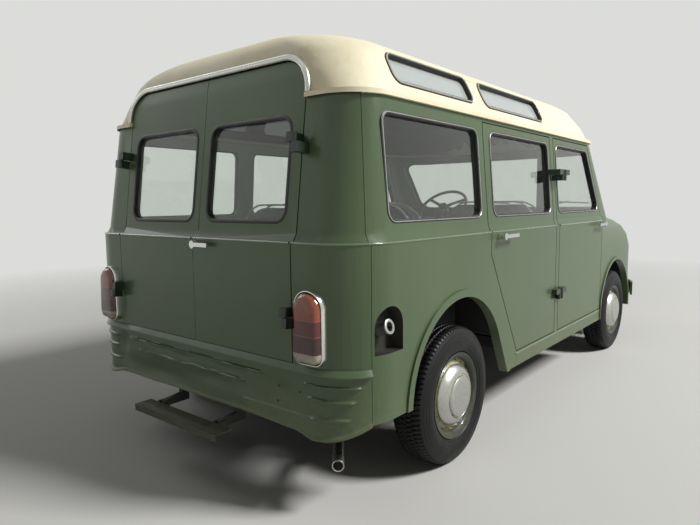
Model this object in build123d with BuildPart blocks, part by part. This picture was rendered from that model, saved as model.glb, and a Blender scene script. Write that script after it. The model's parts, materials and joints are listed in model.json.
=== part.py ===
from build123d import *
import os
from math import cos, radians, sin

os.makedirs("parts", exist_ok=True)

# Small forward-control van ambulance, in millimetres.
# X runs forward, Y to the vehicle's left, Z up. The origin is on the ground under the middle.

# Overall sizes
length = 4270
wheelbase = 2560
rear_overhang = 870             # rear axle to the rear edge of the lowered step
rear_axle_x = -length / 2 + rear_overhang
front_axle_x = rear_axle_x + wheelbase
front_end_x = length / 2

# Body form
wall = 38                       # whole thickness of doors and side walls
lower_half = 928                # half width of the body under the belt
body_bottom_z = 300
shoulder_low_z = 1035
shoulder_high_z = 1070
upper_low_half = 908
eave_half = 866
eave_z = 1580
roof_z = 1925
rear_face_x = rear_axle_x - 730
rear_waist_x = rear_axle_x - 695
rear_eave_x = rear_axle_x - 630
lower_corner_r = 220
upper_corner_r = 185
screen_base_x = rear_axle_x + 2560
screen_top_x = rear_axle_x + 2200
screen_corner_r = 320
screen_bow = 45
nose_front_x = rear_axle_x + 3330
nose_rear_x = rear_axle_x + 2150
nose_corner_r = 450
nose_bow = 30
nose_top_z = 1085
seam = 6                        # gap between neighbouring panels
fit_gap = 0.3                   # play around glass and lamps in their holes
glass_thickness = 5
glass_depth = 15                # glass lies this far inside the outer skin

# Seams of the body panels
side_seam_x = rear_axle_x - 612
eave_seam_x = rear_axle_x - 569     # above the belt the side seam leans forward to here
door_rear_x = rear_axle_x + 318
post_rear_x = rear_axle_x + 1206
post_front_x = rear_axle_x + 1262
front_door_x = rear_axle_x + 2152
door_top_z = 1560
door_bottom_z = 384
door_kick_z = 925               # where the side door's rear edge starts to slope along the arch
door_kick_x = rear_axle_x + 640
pillar_top_x = rear_axle_x + 1925
pillar_foot_x = rear_axle_x + 2168
rear_door_half = 612
rear_door_bottom_z = 568
rear_door_top_z = 1735
rear_door_corner_r = 130
skirt_top_z = 575

# Windows
window_low_z = 1110
window_high_z = 1520
window_r = 45
quarter_window_x = (rear_axle_x - 505, rear_axle_x + 255)
side_window_x = (rear_axle_x + 385, rear_axle_x + 1160)
front_window_x = (rear_axle_x + 1296, rear_axle_x + 1895, rear_axle_x + 2120)
rear_window_y = (48, 548)
screen_half = 800
screen_low_z = 1125
screen_high_z = 1535
skylight_low_z = 1650
skylight_high_z = 1772
skylight_x = ((rear_axle_x - 355, rear_axle_x + 305), (rear_axle_x + 430, rear_axle_x + 1190))
skylight_r = 40

# Wheels
tyre_r = 313
tyre_width = 168
wheel_face_y = 930              # outer side of the tyre
arch_x = rear_axle_x + 25       # rear wheel arch: its middle, height of the middle, radius and front foot
arch_z = 345
arch_r = 413
arch_foot_x = rear_axle_x + 510
arch_turn = radians(25)         # where the arc gives way to the straight front edge
front_arch_z = 322
front_arch_r = 395
arch_lip_out = 9                # the pressed lip round each arch stands this far out of the side wall
rear_lip_width = 34
front_lip_width = 24
skirt_side_z = 362              # lower edge of the side wall behind the rear wheel
skirt_rise_x = rear_axle_x - 605    # from here back that edge slopes down to the bottom of the tail
bearing_r = 24
bearing_play = 0.06
stub_reach = 60                 # wheel stubs reach this far past the wheel's middle plane

# Chassis
rail_y = 420
rail_width = 80
rail_height = 100
rail_low_z = 285
rail_high_z = 410
rail_rear_x = rear_face_x + wall + fit_gap
rail_front_x = rear_axle_x + 3100
kick_front_x = rear_axle_x + 760
kick_rear_x = rear_axle_x + 560
cab_floor_z = rail_low_z + rail_height
rear_floor_z = rail_high_z + rail_height
floor_thickness = 30
kingpin_y = 735
kingpin_r = 14


def plan_face(z, x_rear, x_front, half_rear, half_front, r_rear, r_front, bow):
    # plan outline of the body at one height, its front edge bowed forward
    with BuildSketch(Plane.XY.offset(z)) as face:
        with BuildLine():
            Polyline((x_front, -half_front), (x_rear, -half_rear), (x_rear, half_rear), (x_front, half_front))
            if bow:
                ThreePointArc((x_front, half_front), (x_front + bow, 0), (x_front, -half_front))
            else:
                Line((x_front, half_front), (x_front, -half_front))
        make_face()
        fillet(face.vertices().group_by(Axis.X)[0], r_rear)
        fillet(face.vertices().group_by(Axis.X)[-1], r_front)
    return face.sketch


def row_solid(rows, inset, open_rear=False, open_front=False):
    # body form through a table of plan outlines, made smaller by inset on each side but not at an open end
    # columns: z, rear x, front x, rear half, front half, rear corner r, front corner r, bow,
    # share of the inset taken off z
    rear_sign = -1 if open_rear else 1
    front_sign = -1 if open_front else 1
    faces = [
        plan_face(z - inset * drop, x0 + inset * rear_sign, x1 - inset * front_sign, h0 - inset, h1 - inset,
                  max(r0 - inset, 1), max(r1 - inset, 1), bow)
        for z, x0, x1, h0, h1, r0, r1, bow, drop in rows
    ]
    with BuildPart() as form:
        loft(sections=faces, ruled=True)
    return form.part


lower_rows = (
    (body_bottom_z, rear_face_x, nose_rear_x + 12, lower_half, lower_half, lower_corner_r, 1, 0, 1),
    (shoulder_low_z, rear_face_x, nose_rear_x + 12, lower_half, lower_half, lower_corner_r, 1, 0, 0),
)
nose_rows = (
    (body_bottom_z, nose_rear_x, nose_front_x, lower_half, lower_half, 1, nose_corner_r, nose_bow, 1),
    (800, nose_rear_x, nose_front_x, lower_half, lower_half, 1, nose_corner_r, nose_bow, 0),
    (900, nose_rear_x, nose_front_x - 30, lower_half - 1, 900, 1, 440, nose_bow, 0),
    (970, nose_rear_x, nose_front_x - 110, lower_half - 3, 855, 1, 420, nose_bow, 0),
    (1020, nose_rear_x, nose_front_x - 250, lower_half - 8, 790, 1, 380, nose_bow, 0.35),
    (1060, nose_rear_x, nose_front_x - 450, upper_low_half, 710, 1, 330, nose_bow, 0.6),
    (nose_top_z, nose_rear_x, nose_front_x - 640, 850, 600, 1, 280, nose_bow, 0.9),
)
upper_rows = (
    (shoulder_low_z - 4, rear_face_x + 12, screen_base_x + 20, lower_half - 6, lower_half - 6,
     lower_corner_r - 10, screen_corner_r + 20, screen_bow, 0),
    (shoulder_high_z, rear_waist_x, screen_base_x, upper_low_half, upper_low_half,
     upper_corner_r, screen_corner_r, screen_bow, 0),
    (eave_z, rear_eave_x, screen_top_x, eave_half, eave_half, 170, 300, screen_bow, 0),
)
roof_rows = (
    (eave_z, rear_eave_x, screen_top_x, eave_half, eave_half, 170, 300, screen_bow, 0),
    (1680, rear_eave_x + 12, screen_top_x - 20, 817, 817, 210, 300, screen_bow, 0),
    (1780, rear_eave_x + 34, screen_top_x - 170, 768, 768, 250, 300, screen_bow, 0.3),
    (1808, rear_eave_x + 48, screen_top_x - 250, 732, 732, 250, 296, 42, 0.45),
    (1832, rear_eave_x + 68, screen_top_x - 340, 686, 686, 240, 290, 40, 0.6),
    (1854, rear_eave_x + 94, screen_top_x - 450, 622, 622, 230, 276, 36, 0.7),
    (1873, rear_eave_x + 124, screen_top_x - 580, 542, 542, 210, 256, 30, 0.8),
    (1890, rear_eave_x + 160, screen_top_x - 720, 450, 450, 190, 230, 25, 0.85),
    (1904, rear_eave_x + 202, screen_top_x - 870, 350, 350, 165, 200, 20, 0.9),
    (1916, rear_eave_x + 250, screen_top_x - 1040, 232, 232, 120, 150, 15, 0.95),
    (roof_z, rear_eave_x + 320, screen_top_x - 1200, 100, 100, 80, 80, 10, 1),
)


def body_form(inset):
    # the whole outer form of the body, or the form that lies inset inside it
    with BuildPart() as form:
        add(row_solid(lower_rows, inset, open_front=True))
        add(row_solid(nose_rows, inset, open_rear=True))
        add(row_solid(upper_rows, inset))
        add(row_solid(roof_rows, inset))
    return form.part


def side_prism(points, low_y, high_y, grow=0.0, corner_r=0.0):
    # closed outline in the side view, given as x and z, carried from low_y to high_y
    with BuildPart() as prism:
        with BuildSketch(Plane.XZ.offset(-high_y)) as profile:
            with BuildLine():
                Polyline(*points, close=True)
            make_face()
            if corner_r:
                fillet(profile.vertices(), corner_r)
            if grow:
                offset(amount=grow, kind=Kind.INTERSECTION)
        extrude(amount=high_y - low_y)
    return prism.part


def rear_prism(points, low_x, high_x, grow=0.0, corner_r=0.0):
    # closed outline in the rear view, given as y and z, carried from low_x to high_x
    with BuildPart() as prism:
        with BuildSketch(Plane.YZ.offset(low_x)) as profile:
            with BuildLine():
                Polyline(*points, close=True)
            make_face()
            if corner_r:
                fillet(profile.vertices(), corner_r)
            if grow:
                offset(amount=grow, kind=Kind.INTERSECTION)
        extrude(amount=high_x - low_x)
    return prism.part


def box_between(low, high):
    # plain box from its lowest to its highest corner
    with BuildPart() as block:
        with BuildSketch(Plane.XY.offset(low[2])):
            with Locations(((low[0] + high[0]) / 2, (low[1] + high[1]) / 2)):
                Rectangle(high[0] - low[0], high[1] - low[1])
        extrude(amount=high[2] - low[2])
    return block.part


def bar_x(y, z, r, low_x, high_x):
    # round bar along X
    with BuildPart() as bar:
        with BuildSketch(Plane.YZ.offset(low_x)):
            with Locations((y, z)):
                Circle(r)
        extrude(amount=high_x - low_x)
    return bar.part


def bar_y(x, z, r, low_y, high_y):
    # round bar along Y
    with BuildPart() as bar:
        with BuildSketch(Plane.XZ.offset(-high_y)):
            with Locations((x, z)):
                Circle(r)
        extrude(amount=high_y - low_y)
    return bar.part


def bar_z(x, y, r, low_z, high_z):
    # round bar along Z
    with BuildPart() as bar:
        with BuildSketch(Plane.XY.offset(low_z)):
            with Locations((x, y)):
                Circle(r)
        extrude(amount=high_z - low_z)
    return bar.part


def rectangle(a0, a1, z0, z1):
    return ((a0, z0), (a1, z0), (a1, z1), (a0, z1))


def save(block, name):
    block.part.label = name
    export_step(block.part, f"parts/{name}.step")


side_out = 1000                 # beyond the widest point of the side walls
side_in = 720                   # inside every side wall
sides = (("right", -1), ("left", 1))


def side_range(hand):
    # y range that holds one side wall
    return (-side_out, -side_in) if hand < 0 else (side_in, side_out)


# Outlines of doors and windows in the side and rear views
side_door_outline = (
    (door_rear_x, door_top_z), (post_rear_x, door_top_z), (post_rear_x, door_bottom_z),
    (door_kick_x, door_bottom_z), (door_rear_x, door_kick_z),
)
front_door_outline = (
    (post_front_x, door_top_z), (pillar_top_x, door_top_z), (pillar_foot_x, shoulder_high_z - 5),
    (front_door_x, shoulder_low_z - 40), (front_door_x, door_bottom_z), (post_front_x, door_bottom_z),
)
front_window_outline = (
    (front_window_x[0], window_low_z), (front_window_x[2], window_low_z),
    (front_window_x[1], window_high_z), (front_window_x[0], window_high_z),
)
quarter_window_outline = rectangle(*quarter_window_x, window_low_z, window_high_z)
side_window_outline = rectangle(*side_window_x, window_low_z, window_high_z)


def rear_door_face(grow):
    # both rear doors together: square below, round at the upper corners
    with BuildPart() as prism:
        with BuildSketch(Plane.YZ.offset(rear_face_x - 60)) as profile:
            with BuildLine():
                opening = rectangle(-rear_door_half, rear_door_half, rear_door_bottom_z, rear_door_top_z)
                Polyline(*opening, close=True)
            make_face()
            fillet(profile.vertices().group_by(Axis.Y)[-1], rear_door_corner_r)
            if grow:
                offset(amount=grow, kind=Kind.INTERSECTION)
        extrude(amount=260)
    return prism.part


outer_form = body_form(0)
with BuildPart() as shell:
    add(outer_form)
    add(body_form(wall), mode=Mode.SUBTRACT)
    # the bottom is open
    add(box_between((-3000, -1000, 0), (3000, 1000, body_bottom_z)), mode=Mode.SUBTRACT)
with BuildPart() as glazing:
    add(body_form(glass_depth))
    add(body_form(glass_depth + glass_thickness), mode=Mode.SUBTRACT)

rear_doors_hole = rear_door_face(seam / 2)


def wall_zone(hand):
    # one side wall of the shell up to the eaves
    low_y, high_y = side_range(hand)
    with BuildPart() as zone:
        add(shell.part)
        add(box_between((rear_face_x - 60, low_y, 0), (front_end_x, high_y, eave_z)), mode=Mode.INTERSECT)
    return zone.part


wall_zones = {hand: wall_zone(hand) for hand_name, hand in sides}


def shell_piece(source, region, cuts=()):
    # the part of the body shell, or of one zone of it, inside a region and less the cuts
    with BuildPart() as piece:
        add(source)
        add(region, mode=Mode.INTERSECT)
        for cut in cuts:
            add(cut, mode=Mode.SUBTRACT)
    return piece.part


def glass_piece(region):
    with BuildPart() as piece:
        add(glazing.part)
        add(region, mode=Mode.INTERSECT)
    return piece.part


def arch_outline(front, grow=0.0):
    # wheel arch in the side view, as one sketch at the middle plane
    x, z, r = (front_axle_x, front_arch_z, front_arch_r) if front else (arch_x, arch_z, arch_r)
    with BuildSketch() as outline:
        with Locations((x, z)):
            Circle(r + grow)
        with Locations((x, z - r / 2)):
            Rectangle(2 * (r + grow), r)
        if not front:
            # the front edge runs down to its foot as a straight line
            foot_x = arch_foot_x + grow
            with BuildLine():
                Polyline((x, z), (x + (r + grow) * cos(arch_turn), z + (r + grow) * sin(arch_turn)),
                         (foot_x, body_bottom_z), (foot_x, z - r), (x, z - r), close=True)
            make_face()
    return outline.sketch


def arch_prism(front, hand, grow, low_out, high_out):
    # wheel arch outline carried between two distances from the middle plane
    with BuildPart() as prism:
        extrude(Plane.XZ.offset(-hand * low_out) * arch_outline(front, grow),
                amount=-hand * (high_out - low_out))
    return prism.part


def arch_lip(front, hand):
    # pressed lip round an arch, standing out of the side wall
    low_y, high_y = side_range(hand)
    with BuildPart() as lip:
        add(arch_prism(front, hand, front_lip_width if front else rear_lip_width,
                       lower_half - 6, lower_half + arch_lip_out))
        add(arch_prism(front, hand, 0, lower_half - 20, side_out), mode=Mode.SUBTRACT)
        add(box_between((rear_face_x, low_y, -front_axle_x), (front_end_x, high_y, body_bottom_z)),
            mode=Mode.SUBTRACT)
        if front:
            add(box_between((0, low_y, 0), (front_door_x + seam, high_y, roof_z)), mode=Mode.SUBTRACT)
        else:
            add(skirt_cuts[hand], mode=Mode.SUBTRACT)
    return lip.part


# Rear corners, from the rear doors' edge to the side seam
hinge_belt_gap = 12             # the leaning hinge line passes the belt's lower edge this far out
hinge_lean = 0.11               # it moves forward by this share of its height
hinge_axis_y = rear_door_half + 3
hinge_r = 11
hinge_pin_r = 5
hinge_play = 0.08
hinge_half_height = 38
hinge_root = 10                 # leaves reach this far into the wall
rear_hinge_table = ((757, 22), (1410, 34))      # height of the hinge, reach of each leaf along the wall


def wall_x(z):
    # outer face of the rear wall at one height
    if z < shoulder_low_z:
        return rear_face_x
    return rear_waist_x + (z - shoulder_high_z) / (eave_z - shoulder_high_z) * (rear_eave_x - rear_waist_x)


def knuckle(x, y, z_low, z_high, bore=0.0):
    with BuildPart() as barrel:
        with BuildSketch(Plane.XY.offset(z_low)):
            with Locations((x, y)):
                Circle(hinge_r)
                if bore:
                    Circle(bore, mode=Mode.SUBTRACT)
        extrude(amount=z_high - z_low)
    return barrel.part


def hinge_line_x(z):
    return rear_face_x - hinge_belt_gap + hinge_lean * (z - shoulder_low_z)


def rear_hinge(z, leaf_width, hand, on_door):
    # one half of an outside hinge: the lower half is on the body, the upper half on the door
    across = Plane(origin=(hinge_line_x(z), hand * hinge_axis_y, z),
                   x_dir=(1, 0, -hinge_lean), z_dir=(hinge_lean, 0, 1))
    base = across.offset(1) if on_door else across.offset(-hinge_half_height)
    height = hinge_half_height - 1 if on_door else hinge_half_height
    reach = -hand if on_door else hand
    leaf_length = wall_x(z) + hinge_root - hinge_line_x(z)
    with BuildPart() as half:
        with BuildSketch(base):
            with Locations(((leaf_length - hinge_r) / 2, reach * (leaf_width + 4) / 2)):
                Rectangle(leaf_length + hinge_r, leaf_width - 4)
        extrude(amount=height)
        with BuildSketch(base):
            Circle(hinge_r)
        extrude(amount=height)
        if on_door:
            with BuildSketch(base):
                Circle(hinge_pin_r + hinge_play)
            extrude(amount=height, mode=Mode.SUBTRACT)
        else:
            with BuildSketch(across.offset(-1)):
                Circle(hinge_pin_r)
            extrude(amount=hinge_half_height + 1)
    return half.part


with BuildPart() as rear_corners:
    for hand_name, hand in sides:
        low_y, high_y = sorted((hand * (rear_door_half - 5), hand * side_out))
        corner_outline = (
            (rear_face_x - 50, skirt_top_z + 1), (side_seam_x - 1, skirt_top_z + 1),
            (side_seam_x - 1, shoulder_high_z), (eave_seam_x - 1, eave_z), (rear_face_x - 50, eave_z),
        )
        corner_region = side_prism(corner_outline, low_y, high_y)
        add(shell_piece(shell.part, corner_region, (rear_doors_hole,)))
        for hinge_z, leaf_width in rear_hinge_table:
            add(rear_hinge(hinge_z, leaf_width, hand, False))
save(rear_corners, "rear_corners")

rear_arches = {hand: arch_prism(False, hand, 0, side_in, side_out) for hand_name, hand in sides}
skirt_cut_points = (
    (rear_face_x - 60, 0), (rear_face_x - 60, body_bottom_z), (rear_face_x + 10, body_bottom_z),
    (skirt_rise_x, skirt_side_z), (arch_x, skirt_side_z), (arch_x, 0),
)
skirt_cuts = {
    hand: side_prism(skirt_cut_points, *sorted((hand * 640, hand * side_out))) for hand_name, hand in sides
}

# Ribbed skirt below the rear doors, carried round both corners
rib_table = (               # height of the rib's lower edge, its height, where it ends on the corner
    (552, 22, side_seam_x - 1),
    (500, 16, rear_axle_x - 644),
    (446, 16, rear_axle_x - 662),
    (378, 16, rear_axle_x - 677),
    (body_bottom_z, 18, side_seam_x - 1),
)
rib_depth = 12
rear_end_box = box_between((rear_face_x - 50, -side_out, body_bottom_z),
                           (side_seam_x - 1, side_out, skirt_top_z))


def rib_band(rib_z, rib_height, end_x):
    # one rib, carried round both corners as far as its end
    band_front_x = side_seam_x + 400
    root = 5
    outer_half = lower_half + rib_depth
    core_half = lower_half - root
    outer = plan_face(rib_z, rear_face_x - rib_depth, band_front_x, outer_half, outer_half,
                      lower_corner_r + rib_depth, 20, 1)
    core = plan_face(rib_z, rear_face_x + root, band_front_x, core_half, core_half,
                     lower_corner_r - root, 20, 1)
    with BuildPart() as band:
        extrude(outer, amount=rib_height)
        extrude(core, amount=rib_height, mode=Mode.SUBTRACT)
        add(rear_end_box, mode=Mode.INTERSECT)
        add(rear_doors_hole, mode=Mode.SUBTRACT)
        add(box_between((end_x, -side_out, 0), (0, side_out, roof_z)), mode=Mode.SUBTRACT)
    return band.part


with BuildPart() as rear_skirt:
    add(shell_piece(shell.part, rear_end_box, (rear_doors_hole,)))
    for rib_z, rib_height, rib_end_x in rib_table:
        add(rib_band(rib_z, rib_height, rib_end_x))
    for hand_name, hand in sides:
        add(skirt_cuts[hand], mode=Mode.SUBTRACT)
save(rear_skirt, "rear_skirt")

# Side wall behind the side door, on the right, with the fuel filler's recess
recess_x = rear_axle_x - 524
recess_half = 78
recess_low_z = 622
recess_high_z = 800
recess_depth = 62
recess_wall = 6


def recess_prism(grow, low_y, high_y):
    # round-topped, flat-bottomed outline of the filler's recess
    half = recess_half + grow
    spring_z = recess_high_z - recess_half
    with BuildPart() as prism:
        with BuildSketch(Plane.XZ.offset(-high_y)):
            with Locations((recess_x, spring_z)):
                Circle(half)
            with Locations((recess_x, (spring_z + recess_low_z - grow) / 2)):
                Rectangle(2 * half, spring_z - recess_low_z + grow)
        extrude(amount=high_y - low_y)
    return prism.part


def quarter_region(low_y, high_y, front_x):
    # side panel behind the doors: its rear edge follows the side seam
    outline = (
        (side_seam_x + 1, body_bottom_z), (front_x, body_bottom_z), (front_x, eave_z),
        (eave_seam_x + 1, eave_z), (side_seam_x + 1, shoulder_high_z),
    )
    return side_prism(outline, low_y, high_y)


side_door_hole = side_prism(side_door_outline, -side_out, -side_in, seam / 2)
quarter_window_hole_right = side_prism(quarter_window_outline, -side_out, -side_in, 0, window_r)
with BuildPart() as side_panel_right:
    add(shell_piece(wall_zones[-1], quarter_region(-side_out, -side_in, door_kick_x - 1), (
        side_door_hole,
        quarter_window_hole_right,
        rear_arches[-1],
        skirt_cuts[-1],
        box_between((door_rear_x - 4, -side_out, door_top_z - 1), (door_kick_x, -side_in, eave_z + 1)),
    )))
    add(arch_lip(False, -1))
    add(recess_prism(recess_wall, -lower_half + wall - 8, -lower_half + recess_depth + recess_wall))
    add(recess_prism(0, -side_out, -lower_half + recess_depth), mode=Mode.SUBTRACT)
    add(bar_y(recess_x, recess_low_z + 84, 30, -side_out, -side_in), mode=Mode.SUBTRACT)
save(side_panel_right, "side_panel_right")

with BuildPart() as side_panel_left:
    add(shell_piece(wall_zones[1], quarter_region(side_in, side_out, post_rear_x + 27), (
        side_prism(quarter_window_outline, side_in, side_out, 0, window_r),
        side_prism(side_window_outline, side_in, side_out, 0, window_r),
        rear_arches[1],
        skirt_cuts[1],
    )))
    add(arch_lip(False, 1))
save(side_panel_left, "side_panel_left")

# Door posts, sills and the strips over the side doors
post_depth = 34
inner_post_table = (            # top of the inner post, its outer side without its sign
    (eave_z - 30, eave_half - 16),
    (shoulder_low_z - 20, lower_half - wall + 1),
)
frame_front_x = pillar_top_x - 40
door_hinge_out = 22             # hinge pins of the side doors stand this far outside the skin
door_hinge_y = lower_half + door_hinge_out
door_hinge_spread = 21          # half the distance between the two pins on one post
post_x = (post_rear_x + post_front_x) / 2
side_door_hinge_x = post_x - door_hinge_spread
front_door_hinge_x = post_x + door_hinge_spread
side_hinge_z = (620, 1335)
side_hinge_half_height = 32


def side_wall_y(z):
    # outer face of the side wall at one height, without its sign
    if z < shoulder_low_z:
        return lower_half
    return upper_low_half + (z - shoulder_high_z) / (eave_z - shoulder_high_z) * (eave_half - upper_low_half)


def post_hinge(z, hand, pin_xs):
    # middle part of an outside hinge on a door post, with its pins
    low_y, high_y = sorted((hand * (side_wall_y(z) - 6), hand * (door_hinge_y + 2)))
    with BuildPart() as block:
        block_rear_x = post_x - 17 if len(pin_xs) == 2 else post_x + 1
        add(box_between((block_rear_x, low_y, z - side_hinge_half_height), (post_x + 17, high_y, z - 1)))
        for pin_x in pin_xs:
            add(knuckle(pin_x, hand * door_hinge_y, z - side_hinge_half_height, z - 1))
            add(bar_z(pin_x, hand * door_hinge_y, hinge_pin_r, z - 2, z + side_hinge_half_height))
    return block.part


def door_hinge_leaf(z, hand, pin_x, toward):
    # door half of an outside hinge on a door post
    y_out = hand * (door_hinge_y + 9)
    y_in = hand * (side_wall_y(z) - 6)
    low_y, high_y = sorted((y_in, y_out))
    low_x, high_x = sorted((pin_x + toward * 5, pin_x + toward * 62))
    with BuildPart() as leaf:
        add(box_between((low_x, low_y, z + 1), (high_x, high_y, z + side_hinge_half_height)))
        add(bar_z(pin_x, hand * door_hinge_y, hinge_pin_r + hinge_play, z + 1, z + side_hinge_half_height),
            mode=Mode.SUBTRACT)
        add(knuckle(pin_x, hand * door_hinge_y, z + 1, z + side_hinge_half_height, hinge_pin_r + hinge_play))
    return leaf.part


def front_door_hole(hand, grow):
    low_y, high_y = side_range(hand)
    return side_prism(front_door_outline, low_y, high_y, grow)


with BuildPart() as side_frames:
    for hand_name, hand in sides:
        low_y, high_y = side_range(hand)
        strip_x = door_rear_x - 3 if hand < 0 else post_rear_x + 28
        sill_x = door_kick_x + 1 if hand < 0 else post_rear_x + 28
        with_post = post_rear_x - 20 if hand < 0 else post_rear_x + 28
        cuts = [front_door_hole(hand, seam / 2)]
        if hand < 0:
            cuts.append(side_door_hole)
        for region_box in (
            box_between((strip_x, low_y, door_top_z - 20), (frame_front_x, high_y, eave_z)),
            box_between((with_post, low_y, body_bottom_z), (post_front_x + 20, high_y, eave_z)),
            box_between((sill_x, low_y, body_bottom_z), (front_door_x - 20, high_y, door_bottom_z + 20)),
        ):
            add(shell_piece(wall_zones[hand], region_box, cuts))
        post_inner_x = post_rear_x + 30 if hand > 0 else post_rear_x + 4
        for inner_post_top, outer_post_y in inner_post_table:
            inner_y = sorted((hand * (eave_half - wall - post_depth), hand * outer_post_y))
            add(box_between((post_inner_x, inner_y[0], rear_floor_z + floor_thickness),
                            (post_front_x - 4, inner_y[1], inner_post_top)))
        for hinge_z in side_hinge_z:
            pins = (side_door_hinge_x, front_door_hinge_x) if hand < 0 else (front_door_hinge_x,)
            add(post_hinge(hinge_z, hand, pins))
save(side_frames, "side_frames")

# Nose with wings, cowl and windscreen pillars
bonnet_rear_x = rear_axle_x + 2680
bonnet_front_x = rear_axle_x + 3190
bonnet_half = 560
bonnet_floor_z = 900
bonnet_barrel_r = 8
bonnet_axis_z = nose_top_z + bonnet_barrel_r + 0.5
bonnet_hinge_y = 400
bonnet_leaf_half = 16
bonnet_leaf_reach = 34
bonnet_pin_r = 4
grille_half = 400
grille_low_z = 520
grille_high_z = 760
headlamp_y = 575
headlamp_z = 735
headlamp_r = 92
screen_hole = rear_prism(rectangle(-screen_half, screen_half, screen_low_z, screen_high_z),
                         screen_top_x - 210, screen_base_x + 200, 0, 70)


def bonnet_region(grow):
    with BuildPart() as region:
        with BuildSketch(Plane.XY.offset(bonnet_floor_z)) as outline:
            with Locations(((bonnet_rear_x + bonnet_front_x) / 2, 0)):
                Rectangle(bonnet_front_x - bonnet_rear_x, 2 * bonnet_half)
            fillet(outline.vertices().group_by(Axis.X)[-1], 120)
            if grow:
                offset(amount=grow, kind=Kind.INTERSECTION)
        extrude(amount=300)
    return region.part


def bonnet_hinge(on_bonnet):
    # one half of both outside hinges at the bonnet's rear edge
    reach = bonnet_leaf_reach if on_bonnet else -bonnet_leaf_reach
    low_x, high_x = sorted((bonnet_rear_x, bonnet_rear_x + reach))
    with BuildPart() as half:
        for hand_name, hand in sides:
            # the bonnet's barrel is in the middle, and the body has one on each side of it
            spans = ((-bonnet_leaf_half, bonnet_leaf_half),) if on_bonnet else (
                (-3 * bonnet_leaf_half, -bonnet_leaf_half - 1), (bonnet_leaf_half + 1, 3 * bonnet_leaf_half))
            for span_low, span_high in spans:
                low_y = hand * bonnet_hinge_y + span_low
                high_y = hand * bonnet_hinge_y + span_high
                add(box_between((low_x, low_y, nose_top_z - 2), (high_x, high_y, bonnet_axis_z - 2)))
                add(bar_y(bonnet_rear_x, bonnet_axis_z, bonnet_barrel_r, low_y, high_y))
            if on_bonnet:
                add(bar_y(bonnet_rear_x, bonnet_axis_z, bonnet_pin_r + hinge_play, low_y, high_y),
                    mode=Mode.SUBTRACT)
            else:
                add(bar_y(bonnet_rear_x, bonnet_axis_z, bonnet_pin_r,
                          hand * bonnet_hinge_y - 2 * bonnet_leaf_half,
                          hand * bonnet_hinge_y + 2 * bonnet_leaf_half))
    return half.part


grille_hole = rear_prism(rectangle(-grille_half, grille_half, grille_low_z, grille_high_z),
                         nose_front_x - 260, nose_front_x + 200, 0, 60)
with BuildPart() as front_body:
    add(shell.part)
    add(box_between((frame_front_x + 1, -side_out, body_bottom_z), (front_end_x + 10, side_out, eave_z)),
        mode=Mode.INTERSECT)
    add(box_between((frame_front_x, -side_out, body_bottom_z - 10),
                    (front_door_x - 19, side_out, door_bottom_z + 19)),
        mode=Mode.SUBTRACT)
    for hand_name, hand in sides:
        add(front_door_hole(hand, seam / 2), mode=Mode.SUBTRACT)
        add(arch_prism(True, hand, 0, side_in, side_out), mode=Mode.SUBTRACT)
        add(arch_lip(True, hand))
    add(screen_hole, mode=Mode.SUBTRACT)
    add(bonnet_region(seam / 2), mode=Mode.SUBTRACT)
    add(grille_hole, mode=Mode.SUBTRACT)
    for hand_name, hand in sides:
        add(bar_x(hand * headlamp_y, headlamp_z, headlamp_r + fit_gap,
                  nose_front_x - 250, nose_front_x + 200), mode=Mode.SUBTRACT)
    add(bonnet_hinge(False))
save(front_body, "front_body")

with BuildPart() as bonnet:
    add(shell_piece(shell.part, bonnet_region(-seam / 2)))
    add(bonnet_hinge(True))
save(bonnet, "bonnet")

# Radiator grille: a frame with level bars
bar_count = 6
bar_height = 12
grille_height = grille_high_z - grille_low_z
grille_frame = 25
with BuildPart() as grille:
    with BuildSketch(Plane.YZ.offset(nose_front_x - 42)) as grille_outline:
        with Locations((0, (grille_low_z + grille_high_z) / 2)):
            RectangleRounded(2 * grille_half - 2 * fit_gap, grille_height - 2 * fit_gap, 60 - fit_gap)
            RectangleRounded(2 * grille_half - 2 * grille_frame, grille_height - 2 * grille_frame, 40,
                             mode=Mode.SUBTRACT)
        with GridLocations(0, (grille_height - 40) / bar_count, 1, bar_count):
            with Locations((0, (grille_low_z + grille_high_z) / 2)):
                Rectangle(2 * grille_half - 40, bar_height)
    extrude(amount=34)
save(grille, "grille")

# Front bumper: a blade that follows the nose, with its two irons
bumper_z = 380
bumper_height = 110
bumper_out = 40
bumper_thick = 16
bumper_rear_x = front_axle_x + front_arch_r + 25


def nose_face(z, grow):
    return plan_face(z, nose_rear_x, nose_front_x + grow, lower_half + grow, lower_half + grow,
                     1, nose_corner_r + grow, nose_bow)


iron_half = 12
iron_top_z = body_bottom_z - 3
tow_x = nose_front_x - 20
tow_z = 262
tow_r = 18
with BuildPart() as front_bumper:
    extrude(nose_face(bumper_z, bumper_out), amount=bumper_height)
    extrude(nose_face(bumper_z, bumper_out - bumper_thick), amount=bumper_height, mode=Mode.SUBTRACT)
    add(box_between((bumper_rear_x, -side_out, bumper_z),
                    (front_end_x + 10, side_out, bumper_z + bumper_height)),
        mode=Mode.INTERSECT)
    for hand_name, hand in sides:
        low_y = hand * rail_y - iron_half
        high_y = hand * rail_y + iron_half
        # along the rail, under the nose with the towing lug, and up to the blade
        add(box_between((rail_front_x, low_y, iron_top_z - 12), (nose_front_x - 40, high_y, rail_low_z + 90)))
        add(box_between((nose_front_x - 80, low_y, tow_z - 2 * tow_r),
                        (nose_front_x + 40, high_y, iron_top_z)))
        add(box_between((nose_front_x + 28, low_y, iron_top_z - 12),
                        (nose_front_x + 52, high_y, bumper_z + 20)))
        add(bar_y(tow_x, tow_z, tow_r, low_y, high_y), mode=Mode.SUBTRACT)
save(front_bumper, "front_bumper")

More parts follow.
